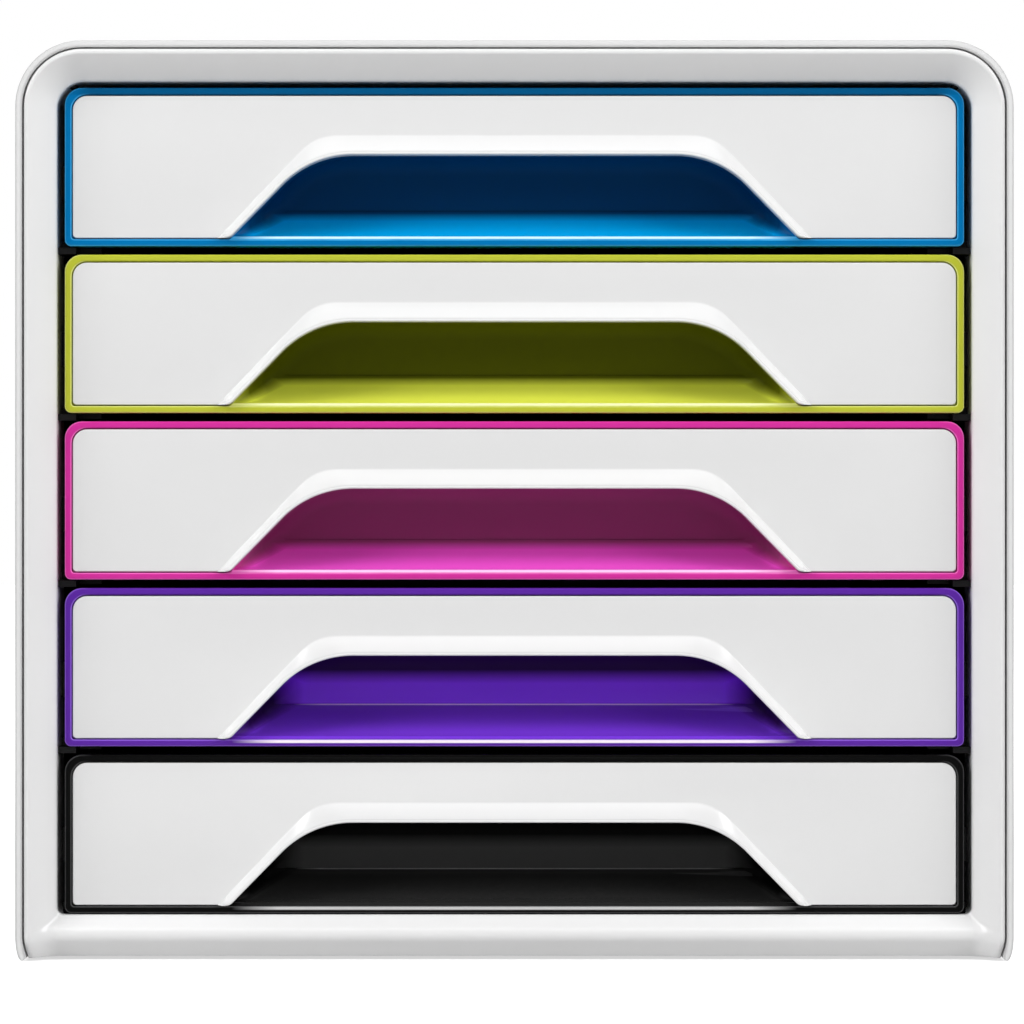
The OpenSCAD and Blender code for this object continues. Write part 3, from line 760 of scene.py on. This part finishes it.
# The wall's round bottom end: height above it, and how far in its outside and its inside lie
SHELL_TIP = [(0.0, 1.8, 2.1), (0.08, 1.62, 2.36), (0.25, 1.4, 2.62), (0.5, 1.18, 2.82), (0.9, 0.94, 2.86),
             (1.5, 0.7, 2.76), (2.3, 0.48, 2.6), (3.4, 0.26, 2.38), (4.8, 0.1, 2.16), (6.2, 0.0, 2.0)]
# The entry where the inside lies farthest in
TIP_WIDEST = 4


def seam_bend(height):
    """How far the seam lies inwards of its straight part at a height above the shell's bottom."""
    tip = SHELL_TIP[TIP_WIDEST:]
    if height <= tip[0][0]:
        return tip[0][2] - SHELL_T
    for (z0, _, t0), (z1, _, t1) in zip(tip, tip[1:]):
        if height < z1:
            return mix(t0, t1, (height - z0) / (z1 - z0)) - SHELL_T
    return 0.0


def make_shell():
    """The shell: one skin over the arch, with its inner ribs and the lip round its back."""
    bm = bmesh.new()
    tip = SHELL_TIP[:-1]
    left = [ring_on(((-HALF_W, STAND_H + z), (1, 0)), shell_section(t0, t1)) for z, t0, t1 in tip]
    right = [ring_on(((HALF_W, STAND_H + z), (-1, 0)), shell_section(t0, t1)) for z, t0, t1 in tip[::-1]]
    over = [ring_on(s, shell_section(0, SHELL_T)) for s in shell_path(STAND_H + SHELL_TIP[-1][0])]
    join_rings(bm, left + over + right)
    rib_z = STAND_H + SHELL_RIB_Z
    lip_end = SHELL_T + BACK_LIP_W
    lip = [(SHELL_T / 2, CABINET_D - BACK_LIP_T), (lip_end, CABINET_D - BACK_LIP_T),
           (lip_end, CABINET_D - BACK_LIP_EDGE), (lip_end - BACK_LIP_EDGE, CABINET_D),
           (SHELL_T / 2, CABINET_D)]
    join_rings(bm, [ring_on(s, lip) for s in shell_path(rib_z)])
    for side in (-1, 1):
        x0, x1 = sorted((side * (HALF_W - SHELL_T - SHELL_RIB_W), side * (HALF_W - SHELL_T / 2)))
        soft_block(bm, (x0, FRONT_Y + BEZEL_FLANGE_D + SHELL_RIB_GAP, rib_z),
                   (x1, -FRONT_Y - BACK_LIP_T, rib_z + SHELL_RIB_T))
    finish_piece("shell_moulding", bm, SHELL_WHITE, "cabinet", "outer_shell")


# -------- bezel

def slope_depth(u):
    """Depth of a bar's rim and slope at distance u inwards from the seam, without its roll."""
    a, r = BEZEL_SLOPE, BEZEL_RIM_R
    bend = r + r * sind(a)
    if u < bend:
        return r - math.sqrt(max(r * r - (r - u) ** 2, 0))
    share = min((u - bend) / (BEZEL_W - bend), 1)
    return r - r * cosd(a) + (u - bend) * tand(a) - BEZEL_BOW * 4 * share * (1 - share)


def sill_parts():
    """Middles of the sill's foot and nose arcs, as depth and height above the shell's bottom."""
    down = 180 + SILL_LOW_LEAN
    nose = (SILL_NOSE_Y + SILL_NOSE_R, SILL_NOSE_Z)
    foot_rise = SILL_FOOT_Z + SILL_EDGE_R - nose[1]
    foot = (nose[0] + (SILL_NOSE_R - SILL_EDGE_R - foot_rise * sind(down)) / cosd(down),
            nose[1] + foot_rise)
    return foot, nose


SILL_FOOT, SILL_NOSE = sill_parts()


def sill_depth(z):
    """Depth of the sill's front at height z above the shell's bottom, without its top roll."""
    up, down = 180 - SILL_TOP_LEAN, 180 + SILL_LOW_LEAN
    z = max(z, SILL_FOOT_Z)
    foot_end = SILL_FOOT[1] + SILL_EDGE_R * sind(down)
    nose_low = SILL_NOSE[1] + SILL_NOSE_R * sind(down)
    nose_high = SILL_NOSE[1] + SILL_NOSE_R * sind(up)
    if z < foot_end:
        return SILL_FOOT[0] - math.sqrt(max(SILL_EDGE_R ** 2 - (z - SILL_FOOT[1]) ** 2, 0))
    if z < nose_low:
        return SILL_NOSE[0] + SILL_NOSE_R * cosd(down) + (nose_low - z) * tand(SILL_LOW_LEAN)
    if z < nose_high:
        return SILL_NOSE[0] - math.sqrt(max(SILL_NOSE_R ** 2 - (z - SILL_NOSE[1]) ** 2, 0))
    return SILL_NOSE[0] + SILL_NOSE_R * cosd(up) + (z - nose_high) * tand(SILL_TOP_LEAN)


def roll_depth(e, r, lean):
    """How much a roll of radius r sinks a slope at distance e from the edge that it ends in."""
    if e >= r * (1 - sind(lean)):
        return 0.0
    e = max(e, 0.0)
    return (r * cosd(lean) - math.sqrt(max(r * r - (r - e) ** 2, 0))
            + tand(lean) * (e - r * (1 - sind(lean))))


def soft_min(a, b, k):
    """The lesser of two depths, blended over k where they are about the same."""
    h = min(max(0.5 + 0.5 * (b - a) / k, 0), 1)
    return mix(b, a, h) - k * h * (1 - h)


def foot_curve(z):
    """How far a bar's bottom end curves back at height z above the shell's bottom."""
    fall = max(BAR_FOOT_CURVE_Z - z, 0)
    if fall < BAR_FOOT_BEND:
        return BAR_FOOT_LEAN * fall * fall / (2 * BAR_FOOT_BEND)
    return BAR_FOOT_LEAN * (fall - BAR_FOOT_BEND / 2)


def aperture_distance(x, z):
    """Distance of a point of the bezel from the edge of the opening, below its top corners."""
    qx = abs(x) - (APERTURE_HALF - SILL_CORNER_R)
    qz = SILL_TOP + SILL_CORNER_R - z
    if qx > 0 and qz > 0:
        return math.hypot(qx, qz) - SILL_CORNER_R
    return max(qx, qz) - SILL_CORNER_R


def bezel_depth(z, u, e, share):
    """Depth of the bezel's face; share is the sill's part in the section."""
    height = z - STAND_H
    k = mix(SILL_TOP_BLEND, SILL_BLEND, ease((SILL_H - height) / (SILL_H - SILL_NOSE_Z)))
    d = soft_min(slope_depth(u) + foot_curve(height), sill_depth(height), k)
    bar_roll = roll_depth(e, BEZEL_ROLL_R, BEZEL_SLOPE)
    return d + mix(bar_roll, roll_depth(e, SILL_ROLL_R, SILL_TOP_LEAN), share)


def bar_shares():
    """Where the points of a bar's face lie, as shares of its width."""
    a = BEZEL_SLOPE
    rim = [u for u, d in arc((BEZEL_RIM_R, BEZEL_RIM_R), BEZEL_RIM_R, -180, a - 90, ROLL_STEPS)]
    roll = [u for u, d in arc((BEZEL_W - BEZEL_ROLL_R, 0), BEZEL_ROLL_R, a - 90, 0, ROLL_STEPS)]
    return [u / BEZEL_W for u in rim + between(rim[-1], roll[0], SLOPE_STEPS) + roll]


def sill_shares():
    """Where the points of the sill's face lie, as shares of its height, as many as on a bar."""
    up, down = 180 - SILL_TOP_LEAN, 180 + SILL_LOW_LEAN
    foot = [z for d, z in arc(SILL_FOOT, SILL_EDGE_R, 270, down, ROLL_STEPS)]
    nose = [z for d, z in arc(SILL_NOSE, SILL_NOSE_R, down, up, NOSE_STEPS)]
    roll = [z for d, z in arc((0, SILL_H - SILL_ROLL_R), SILL_ROLL_R, up, 90, ROLL_STEPS)][:-1]
    heights = (foot + between(foot[-1], nose[0], LEAN_STEPS) + nose
               + between(nose[-1], roll[0], LEAN_STEPS) + roll)
    return [(z - SILL_FOOT_Z) / (SILL_H - SILL_FOOT_Z) for z in heights]


def bezel_backs():
    """Points of the bars' and the sill's hollow backs, as pairs of share and depth."""
    a = BEZEL_SLOPE
    bend = BEZEL_RIM_R + BEZEL_RIM_R * sind(a)

    def behind(u):
        """Depth of the hollow side of a bar's slope."""
        return BEZEL_RIM_R - BEZEL_RIM_R * cosd(a) + (u - bend) * tand(a) + BEZEL_T / cosd(a)

    walls = (BEZEL_W - BEZEL_T, BEZEL_W / 2, BEZEL_T)
    skirt = BEZEL_W - BEZEL_SKIRT_T
    bar = [(skirt, BEZEL_SKIRT_D), (skirt, BEZEL_WALL_D), (walls[0], BEZEL_WALL_D)]
    bar += [(u, behind(u)) for u in walls] + [(BEZEL_T, BEZEL_FLANGE_D)]
    high, low = SILL_H - BEZEL_T, SILL_FOOT_Z + BEZEL_T
    foot_end = SILL_FOOT[0] + BEZEL_T
    skirt = SILL_H - BEZEL_SKIRT_T
    sill = [(skirt, SILL_SKIRT_D), (skirt, BEZEL_WALL_D), (high, BEZEL_WALL_D),
            (high, sill_depth(high) + BEZEL_T / cosd(SILL_TOP_LEAN)),
            (SILL_NOSE_Z, SILL_NOSE_Y + BEZEL_T),
            (low, sill_depth(low) + BEZEL_T / cosd(SILL_LOW_LEAN)), (low, foot_end)]
    return ([(u / BEZEL_W, d) for u, d in bar],
            [((z - SILL_FOOT_Z) / (SILL_H - SILL_FOOT_Z), d) for z, d in sill], foot_end)


def bezel_stations():
    """Lines across the bezel all the way round: outer point, inner point, the sill's share."""
    c, top, r = BEZEL_HALF - BEZEL_R, BEZEL_TOP - BEZEL_R, BEZEL_R
    low = SILL_TOP + SILL_CORNER_R
    right = [((BEZEL_HALF, z), (APERTURE_HALF, z), 0) for z in between(low, top, LEG_STEPS)]
    for i in range(TURN_STEPS + 1):
        a = 90 * i / TURN_STEPS
        right.append(((c + r * cosd(a), top + r * sind(a)),
                      (c + (r - BEZEL_W) * cosd(a), top + (r - BEZEL_W) * sind(a)), 0))
    right += [((x, BEZEL_TOP), (x, BEZEL_TOP - BEZEL_W), 0) for x in between(c, 0, TOP_STEPS // 2)]
    reach = BEZEL_W + SILL_CORNER_R
    fan = []
    for k in range(2 * FAN_STEPS + 1):
        a = 90 * k / (2 * FAN_STEPS)
        inner = (APERTURE_HALF - SILL_CORNER_R * (1 - cosd(a)), low - SILL_CORNER_R * sind(a))
        if k <= FAN_STEPS:
            z = mix(low, STAND_H + BAR_FOOT_Z, k / FAN_STEPS)
            outer = (BEZEL_HALF - seam_bend(z - STAND_H), z)
        else:
            u = mix(seam_bend(BAR_FOOT_Z), reach, (k - FAN_STEPS) / FAN_STEPS)
            rise = mix(BAR_FOOT_Z, SILL_FOOT_Z, ease(u / BEZEL_W))
            outer = (BEZEL_HALF - u, STAND_H + rise)
        fan.append((outer, inner, ease(k / (2 * FAN_STEPS))))
    sill = [((x, STAND_H + SILL_FOOT_Z), (x, SILL_TOP), 1)
            for x in between(BEZEL_HALF - reach, 0, SILL_STEPS)]
    middle_top = [((0, BEZEL_TOP), (0, BEZEL_TOP - BEZEL_W), 0)]
    middle_low = [((0, STAND_H + SILL_FOOT_Z), (0, SILL_TOP), 1)]
    upward = middle_low + sill[::-1] + fan[::-1] + right + middle_top
    mirrored = [((-ox, oz), (-ix, iz), s) for (ox, oz), (ix, iz), s in upward[-2:0:-1]]
    return upward + mirrored


def make_bezel():
    """The bezel: a ring of points on each line across it, face first and then its hollow back."""
    bars, sills = bar_shares(), sill_shares()
    bar_back, sill_back, foot_end = bezel_backs()
    rings = []
    for outer, inner, share in bezel_stations():
        def spot(t, d):
            """A point at a share of the way across and at a depth."""
            return (mix(outer[0], inner[0], t), FRONT_Y + d, mix(outer[1], inner[1], t))

        ring = [spot(0, mix(BEZEL_FLANGE_D, foot_end, share))]
        for tb, ts in zip(bars, sills):
            t = mix(tb, ts, share)
            x, z = mix(outer[0], inner[0], t), mix(outer[1], inner[1], t)
            if outer[1] > BEZEL_TOP - BEZEL_R - TINY:
                u, e = t * BEZEL_W, (1 - t) * BEZEL_W
            else:
                u = BEZEL_HALF - seam_bend(z - STAND_H) - abs(x)
                e = aperture_distance(x, z)
            ring.append((x, FRONT_Y + bezel_depth(z, u, e, share), z))
        ring.append(spot(1, mix(BEZEL_SKIRT_D, SILL_SKIRT_D, share)))
        for (tb, db), (ts, ds) in zip(bar_back, sill_back):
            ring.append(spot(mix(tb, ts, share), mix(db, ds, share)))
        rings.append(ring)
    bm = bmesh.new()
    join_rings(bm, rings, closed_path=True)
    finish_piece("bezel_moulding", bm, BEZEL_WHITE, "cabinet", "front_bezel")


# -------- drawer fronts

def grip_edge(gap=0.0, low=FASCIA_LOW, foot_r=GRIP_FOOT_R, slope_steps=GRIP_SLOPE_STEPS):
    """Right half of the handle opening's edge, from its foot to the middle of the top.

    Each entry is a point as X and Z and the angle of the normal that points away from the opening.
    """
    a = GRIP_SLOPE
    corner = GRIP_W / 2 + gap / sind(a) + (FASCIA_LOW - low) / tand(a)
    top = (GRIP_W / 2 - (GRIP_H - FASCIA_LOW) / tand(a) - GRIP_R * tand(a / 2), GRIP_H - GRIP_R)
    r = GRIP_R + gap
    edge = []
    if foot_r:
        foot = (corner + foot_r * (1 - cosd(a)) / sind(a), low + foot_r)
        for i in range(ROLL_STEPS + 1):
            f = 90 - a * i / ROLL_STEPS
            edge.append(((foot[0] - foot_r * cosd(f), foot[1] - foot_r * sind(f)), f))
    else:
        edge.append(((corner, low), 90 - a))
    start = edge[-1][0]
    bend = (top[0] + r * cosd(90 - a), top[1] + r * sind(90 - a))
    edge += [(p, 90 - a) for p in along(start, bend, slope_steps)]
    for i in range(GRIP_TOP_STEPS + 1):
        f = 90 - a + a * i / GRIP_TOP_STEPS
        edge.append(((top[0] + r * cosd(f), top[1] + r * sind(f)), f))
    for i in range(1, GRIP_ROOF_STEPS + 1):
        edge.append(((top[0] * (1 - i / GRIP_ROOF_STEPS), top[1] + r), 90))
    return edge


def lip_reach(p, n):
    """Distance from point p along direction n to the outer edge of the lip."""
    a, high = LIP_SLOPE, GRIP_H + LIP_W
    foot = (GRIP_W / 2 + LIP_FOOT_W, FASCIA_LOW)
    edge = (sind(a), cosd(a))
    to_side = (((foot[0] - p[0]) * edge[0] + (foot[1] - p[1]) * edge[1])
               / (n[0] * edge[0] + n[1] * edge[1]))
    to_top = (high - p[1]) / n[1] if n[1] > TINY else math.inf
    centre = (foot[0] - (high - foot[1]) / tand(a) - LIP_R * tand(a / 2), high - LIP_R)
    away = (centre[0] - p[0], centre[1] - p[1])
    b = away[0] * n[0] + away[1] * n[1]
    root = b * b - (away[0] ** 2 + away[1] ** 2 - LIP_R ** 2)
    if root > 0:
        reach = b + math.sqrt(root)
        hit = (p[0] + reach * n[0] - centre[0], p[1] + reach * n[1] - centre[1])
        if hit[0] > 0 and hit[1] > LIP_R * cosd(a):
            return reach
    return min(to_side, to_top)


# Section of the lip's round edge and of the crease beside it, as distance from the opening and height
LIP_EDGE = [(0.0, 1.9), (0.04, 2.25), (0.16, 2.48), (0.34, 2.56), (0.56, 2.53), (0.78, 2.42), (0.98, 2.42)]
# Section of its slope, as shares of what is left of the width and of the height
LIP_FALL = [(0.0, 1.0), (0.25, 0.77), (0.5, 0.53), (0.72, 0.3), (0.86, 0.14), (0.96, 0.03), (1.06, 0.0)]


def smooth_curve(points):
    """Points on a smooth curve through the given ones."""
    spaced = [points[0]] + points + [points[-1]]
    curve = []
    for p0, p1, p2, p3 in zip(spaced, spaced[1:], spaced[2:], spaced[3:]):
        for i in range(CURVE_STEPS):
            t = i / CURVE_STEPS
            curve.append(tuple(
                0.5 * (2 * b + (c - a) * t + (2 * a - 5 * b + 4 * c - d) * t * t
                       + (3 * b - a - 3 * c + d) * t ** 3)
                for a, b, c, d in zip(p0, p1, p2, p3)))
    return curve + [points[-1]]


def add_lip(bm, z0):
    """The rolled lip round the opening, which also lines the opening's edge."""
    edge_curve, fall_curve = smooth_curve(LIP_EDGE), smooth_curve(LIP_FALL)
    edge_w, edge_h = LIP_EDGE[-1]
    face = FACE_Y + FASCIA_INSET
    half = grip_edge()
    half = [(half[0][0], f) for f in QUARTER[:-1]] + half
    path = [(p, f, 1) for p, f in half] + [((-p[0], p[1]), 180 - f, -1) for p, f in half[-2::-1]]
    rings = []
    for p, f, side in path:
        n = (cosd(f), sind(f))
        w = lip_reach((side * p[0], p[1]), (side * n[0], n[1]))
        ring = [(p[0], face + FASCIA_T, z0 + p[1])]
        section = edge_curve + [(mix(edge_w, w, s), h * edge_h) for s, h in fall_curve[1:]]
        ring += [(p[0] + s * n[0], face - h + (LIP_SINK if s > w else 0), z0 + p[1] + s * n[1])
                 for s, h in section]
        end = section[-1][0]
        ring.append((p[0] + end * n[0], face + FASCIA_T, z0 + p[1] + end * n[1]))
        rings.append(ring)
    join_rings(bm, rings)


def notched(outer, notch):
    """An outline with a notch in its bottom, which is given by its right half."""
    return outer + [(-x, z) for x, z in notch] + notch[-2::-1]


def fascia_outline(inset):
    """Edge of the fascia drawn in by an inset, with the handle opening left out."""
    outer = soft_rect(FASCIA_HALF - inset, FASCIA_LOW + inset, FRONT_H - FASCIA_LOW - inset,
                      FASCIA_LOW_R - inset, FASCIA_TOP_R - inset)
    notch = [p for p, f in grip_edge(gap=FASCIA_GRIP_GAP, foot_r=0)]
    notch[0] = (notch[0][0] - inset / tand(GRIP_SLOPE), FASCIA_LOW + inset)
    return notched(outer, notch)


def lay(outline, y, z0):
    """An outline about the Y axis, as points at one Y, on a drawer at height z0."""
    return [(x, y, z0 + z) for x, z in outline]


def edge_levels(r):
    """Insets and depths down a round outer edge, from its side to its face."""
    return [(r - r * cosd(a), r - r * sind(a)) for a in QUARTER]


def make_fascia(n):
    """The plate in the rim of drawer n, with its lip."""
    z0 = drawer_z(n)
    face = FACE_Y + FASCIA_INSET
    levels = [(0, FASCIA_T)] + edge_levels(FASCIA_EDGE_R)
    bm = bmesh.new()
    join_rings(bm, [lay(fascia_outline(inset), face + d, z0) for inset, d in levels])
    add_lip(bm, z0)
    finish_piece(f"fascia_{n}_moulding", bm, FASCIA_WHITE, f"drawer_{n}", f"fascia_{n}")


def rim_outline(inset):
    """Edge of a front drawn in by an inset, from its outside to the rim's inner side."""
    share = inset / RIM_T
    return soft_rect(FRONT_HALF - inset, inset, FRONT_H - inset,
                     mix(FRONT_LOW_R, FRONT_LOW_R / 2, share),
                     mix(FRONT_TOP_R, FASCIA_TOP_R + FASCIA_GAP, share))


def add_rim(bm, z0):
    """The coloured rim round a front, with soft edges."""
    r = RIM_EDGE_R
    inner = [(RIM_T - r + r * sind(a), r - r * cosd(a)) for a in QUARTER]
    levels = [(0, RIM_D)] + edge_levels(r) + inner + [(RIM_T, RIM_D)]
    join_rings(bm, [lay(rim_outline(inset), FACE_Y + d, z0) for inset, d in levels], closed_path=True)


def add_seat(bm, z0):
    """The wall behind the fascia, open where the finger pocket starts."""
    notch = [p for p, f in grip_edge(gap=POCKET_STEP, low=RIM_T, foot_r=0)]
    outline = notched(rim_outline(RIM_T / 2), notch)
    join_rings(bm, [lay(outline, FACE_Y + d, z0) for d in (SEAT_D, SEAT_D + SEAT_T)])


def scoop_height(depth):
    """Height of the pocket's floor at a depth: a quarter ellipse up to the ledge."""
    return LEDGE_Z - (SCOOP_H - SCOOP_EDGE) * math.sqrt(max(1 - (depth / POCKET_RUN) ** 2, 0))


def pocket_depths():
    """Depths at which the pocket's outline is drawn, close together where its surface turns."""
    scoop = [POCKET_RUN * cosd(a) for a in SCOOP_ANGLES]
    cup = [CUP_START + POCKET_CUP_R * sind(a) for a in CUP_ANGLES]
    ledge = [POCKET_RUN + SCOOP_LEDGE_R * (1 - cosd(a)) for a in LEDGE_ANGLES]
    return sorted({round(d, 3) for d in scoop + cup + ledge + [SEAT_D] if d >= SEAT_D})


def pocket_floor(depth):
    """Height of the pocket's floor at a depth, with the ledge and its round edge."""
    if depth < POCKET_RUN:
        return min(scoop_height(depth), LEDGE_Z - SCOOP_LEDGE_R)
    e = min((depth - POCKET_RUN) / SCOOP_LEDGE_R, 1)
    return LEDGE_Z - SCOOP_LEDGE_R * (1 - math.sqrt(1 - (1 - e) ** 2))


# The scoop's front edge: depths, and how far they lie under its top as shares of its height
SCOOP_EDGE_FACE = [(0.02, 1.05), (0.05, 0.92), (0.3725, 0.17), (0.53, 0.05)]
SCOOP_EDGE_DEPTHS = (SCOOP_EDGE_TOP_D, 1.2, 1.7, 2.2)


def add_scoop_edge(bm, z0, drop):
    """The scoop's front edge, which runs through the fascia's opening to the rim's front."""
    top = RIM_T + SCOOP_EDGE - drop
    back = SEAT_D + SCOOP_EDGE_OVERLAP
    section = [(d, top - fall * SCOOP_EDGE) for d, fall in SCOOP_EDGE_FACE]
    for d in SCOOP_EDGE_DEPTHS:
        share = ease((d - SCOOP_EDGE_TOP_D) / (back - SCOOP_EDGE_TOP_D))
        section.append((d, mix(top, scoop_height(d), share) + SCOOP_EDGE_PROUD))
    section += [(back, scoop_height(back)), (back, RIM_T / 2), (SCOOP_EDGE_FACE[0][0], RIM_T / 2)]

    def end(z):
        """Half the width of the opening at a height."""
        return GRIP_W / 2 - FASCIA_GAP + (FASCIA_LOW - z) / tand(GRIP_SLOPE)

    join_rings(bm, [[(side * end(z), FACE_Y + d, z0 + z) for d, z in section] for side in (-1, 1)])


def pocket_half_outline(floor, gap, fillet):
    """Right half of the pocket at one depth, from the middle of its floor to that of its roof."""
    a = GRIP_SLOPE
    edge = [p for p, f in grip_edge(gap=gap, low=floor, foot_r=0, slope_steps=POCKET_WALL_STEPS)]
    corner, roof = edge[0], edge[POCKET_WALL_STEPS:]
    tangent = fillet / tand(a / 2)
    flat_end = corner[0] - tangent
    flat = [(x, floor) for x in [0] + between(0, flat_end, POCKET_FLOOR_STEPS) + [flat_end]]
    bend = arc((flat_end, floor + fillet), fillet, -90, 90 - a, ROLL_STEPS)[1:]
    return flat + bend + along(bend[-1], roof[0], POCKET_SIDE_STEPS) + roof


def full_round(half):
    """A closed outline from its right half."""
    return half + [(-x, z) for x, z in half[-2:0:-1]]


def add_pocket(bm, z0):
    """The finger pocket: a cup with a scooped floor, whose walls and roof curve into its back."""
    inside = []
    for d in pocket_depths():
        turn = min(max((d - CUP_START) / POCKET_CUP_R, 0), 1)
        inset = POCKET_CUP_R * (1 - math.sqrt(1 - turn * turn))
        fillet = POCKET_FRONT_R + POCKET_FILLET_R * ease((d - SEAT_D) / POCKET_FILLET_RUN)
        fillet = mix(fillet, POCKET_BACK_R, ease(turn))
        half = pocket_half_outline(pocket_floor(d), POCKET_STEP - inset, fillet)
        inside.append(lay(full_round(half), FACE_Y + d, z0))
    skin = full_round(pocket_half_outline(RIM_T / 2, POCKET_STEP + POCKET_T, POCKET_FRONT_R))
    outside = [lay(skin, FACE_Y + d, z0) for d in (SEAT_D, POCKET_BACK_D + POCKET_SKIN_T)]
    join_rings(bm, inside[::-1] + outside)


def make_front(n):
    """The coloured front of drawer n: rim, wall, finger pocket and the bar along its top."""
    slot, material = FRONT_FINISH[n - 1]
    z0 = drawer_z(n)
    bm = bmesh.new()
    add_rim(bm, z0)
    add_seat(bm, z0)
    add_pocket(bm, z0)
    add_scoop_edge(bm, z0, LOW_EDGE_DROP if n in LOW_DRAWERS else 0.0)
    half = GRIP_W / 2 + (POCKET_STEP + POCKET_T) / sind(GRIP_SLOPE) + FASCIA_LOW / tand(GRIP_SLOPE)
    soft_block(bm, (-half, FACE_Y + RIM_D - RIM_T, z0 + FRONT_H - RIM_T),
               (half, FACE_Y + POCKET_D + TRAY_T, z0 + FRONT_H))
    finish_piece(f"front_{n}_moulding", bm, material, f"drawer_{n}", f"front_frame_{n}")


# -------- carried-over pieces

def dress_node(name, material, edge=NODE_EDGE_R):
    """Soften the edges of a carried-over piece and give it its finish."""
    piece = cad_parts[name]
    for slot in piece.material_slots:
        slot.material = material
    weld = piece.modifiers.new("weld", "WELD")
    weld.merge_threshold = NODE_WELD * MM
    flats = piece.modifiers.new("flats", "DECIMATE")
    flats.decimate_type = "DISSOLVE"
    flats.angle_limit = math.radians(FLAT_ANGLE)
    soften = piece.modifiers.new("soften", "BEVEL")
    soften.width = edge * MM
    soften.segments = 2
    soften.limit_method = "ANGLE"
    soften.angle_limit = math.radians(NODE_EDGE_ANGLE)
    shade = piece.modifiers.new("shade", "WEIGHTED_NORMAL")
    shade.keep_sharp = False


make_shell()
make_bezel()
for n in range(1, DRAWERS + 1):
    make_front(n)
    make_fascia(n)
    dress_node(f"tray_{n}", TRAY_FINISH[n - 1])
for name in ("left_rack", "right_rack", "base_plate"):
    dress_node(name, CHARCOAL)
dress_node("back_panel", CHARCOAL, edge=THIN_EDGE_R)
for name in ("foot_front_left", "foot_front_right", "foot_rear_left", "foot_rear_right"):
    dress_node(name, RUBBER, edge=THIN_EDGE_R)


# -------- stage, lamps and camera

# Places and sizes here are in metres
FLOOR_HALF = 6.0
FLOOR_TONE = (0.64, 0.66)
# The floor's own glow for the eye: its strength by the drawers, and how far out it turns to white
FLOOR_GLOW = 0.62
FLOOR_GLOW_SPAN = (0.3, 0.9)
WORLD_FILL = 0.19
# Soft lamps: place, target, width and height, power, and the spread of their light in degrees
LAMPS = {
    "key_box": ((0, -0.85, 1.05), (0, -0.18, 0.13), (1.3, 0.3), 3.4, 180),
    "left_box": ((-1.25, -0.85, 0.9), (0, -0.15, 0.13), (0.7, 0.7), 13.8, 180),
    "right_box": ((1.25, -0.85, 0.9), (0, -0.15, 0.13), (0.7, 0.7), 13.8, 180),
    "back_box": ((0, 1.8, 1.2), (0, 0.18, 0.13), (1.6, 0.8), 9, 180),
    "low_box": ((0, -1.0, 0.055), (0, -0.18, 0.04), (0.6, 0.04), 0.003, 10),
}
CAMERA_PLACE = (-0.0007, -1.380, 0.1299)
CAMERA_LENS = 146.35
CAMERA_SENSOR = 36


def seen_or_mirrored(tree):
    """1 for what is seen directly, mirrored or through something, and 0 for other light."""
    path = tree.nodes.new("ShaderNodeLightPath").outputs
    seen = combine(tree, "ADD", path["Is Camera Ray"], path["Is Glossy Ray"], path["Is Transmission Ray"])
    return combine(tree, "MINIMUM", seen, 1.0)


def make_floor():
    """A pale floor that takes the cabinet's shadow and turns to white further out."""
    h = FLOOR_HALF
    mesh = bpy.data.meshes.new("floor")
    mesh.from_pydata([(-h, -h, 0), (h, -h, 0), (h, h, 0), (-h, h, 0)], [], [(0, 1, 2, 3)])
    material = bpy.data.materials.new("floor_white")
    material.use_nodes = True
    tree = material.node_tree
    shader = tree.nodes["Principled BSDF"].inputs
    shader["Roughness"].default_value = 0.9
    shader["Specular IOR Level"].default_value = 0.0
    place = place_on(tree)
    feed(tree, shader["Base Color"], spread(tree, noise(tree, place, "floor"), (0, 1), FLOOR_TONE))
    away = tree.nodes.new("ShaderNodeVectorMath")
    away.operation = "LENGTH"
    tree.links.new(place, away.inputs[0])
    glow = spread(tree, away.outputs["Value"], FLOOR_GLOW_SPAN, (FLOOR_GLOW, 1.0))
    shader["Emission Color"].default_value = (1, 1, 1, 1)
    feed(tree, shader["Emission Strength"], product(tree, seen_or_mirrored(tree), glow))
    mesh.materials.append(material)
    add_object("floor", mesh)


def make_world():
    """A white surround that gives the cabinet only a little light."""
    world = bpy.data.worlds.new("studio")
    bpy.context.scene.world = world
    world.use_nodes = True
    tree = world.node_tree
    ground = tree.nodes["Background"].inputs
    ground["Color"].default_value = (1, 1, 1, 1)
    feed(tree, ground["Strength"], spread(tree, seen_or_mirrored(tree), (0, 1), (WORLD_FILL, 1.0)))


def make_lamp(name, place, target, size, power, spread_angle):
    """A large soft lamp that stays out of sight."""
    lamp = bpy.data.lights.new(name, "AREA")
    lamp.shape = "RECTANGLE"
    lamp.size, lamp.size_y = size
    lamp.energy = power
    lamp.spread = math.radians(spread_angle)
    stand = add_object(name, lamp)
    stand.location = place
    stand.rotation_euler = (Vector(target) - Vector(place)).to_track_quat("-Z", "Y").to_euler()
    stand.visible_camera = False


def make_camera():
    """A level camera in front of the drawers."""
    camera = add_object("camera", bpy.data.cameras.new("camera"))
    camera.location = CAMERA_PLACE
    camera.rotation_euler = (math.radians(90), 0, 0)
    camera.data.lens = CAMERA_LENS
    camera.data.sensor_width = CAMERA_SENSOR
    bpy.context.scene.camera = camera


make_floor()
make_world()
for name, settings in LAMPS.items():
    make_lamp(name, *settings)
make_camera()
bpy.context.scene.view_settings.view_transform = "Standard"
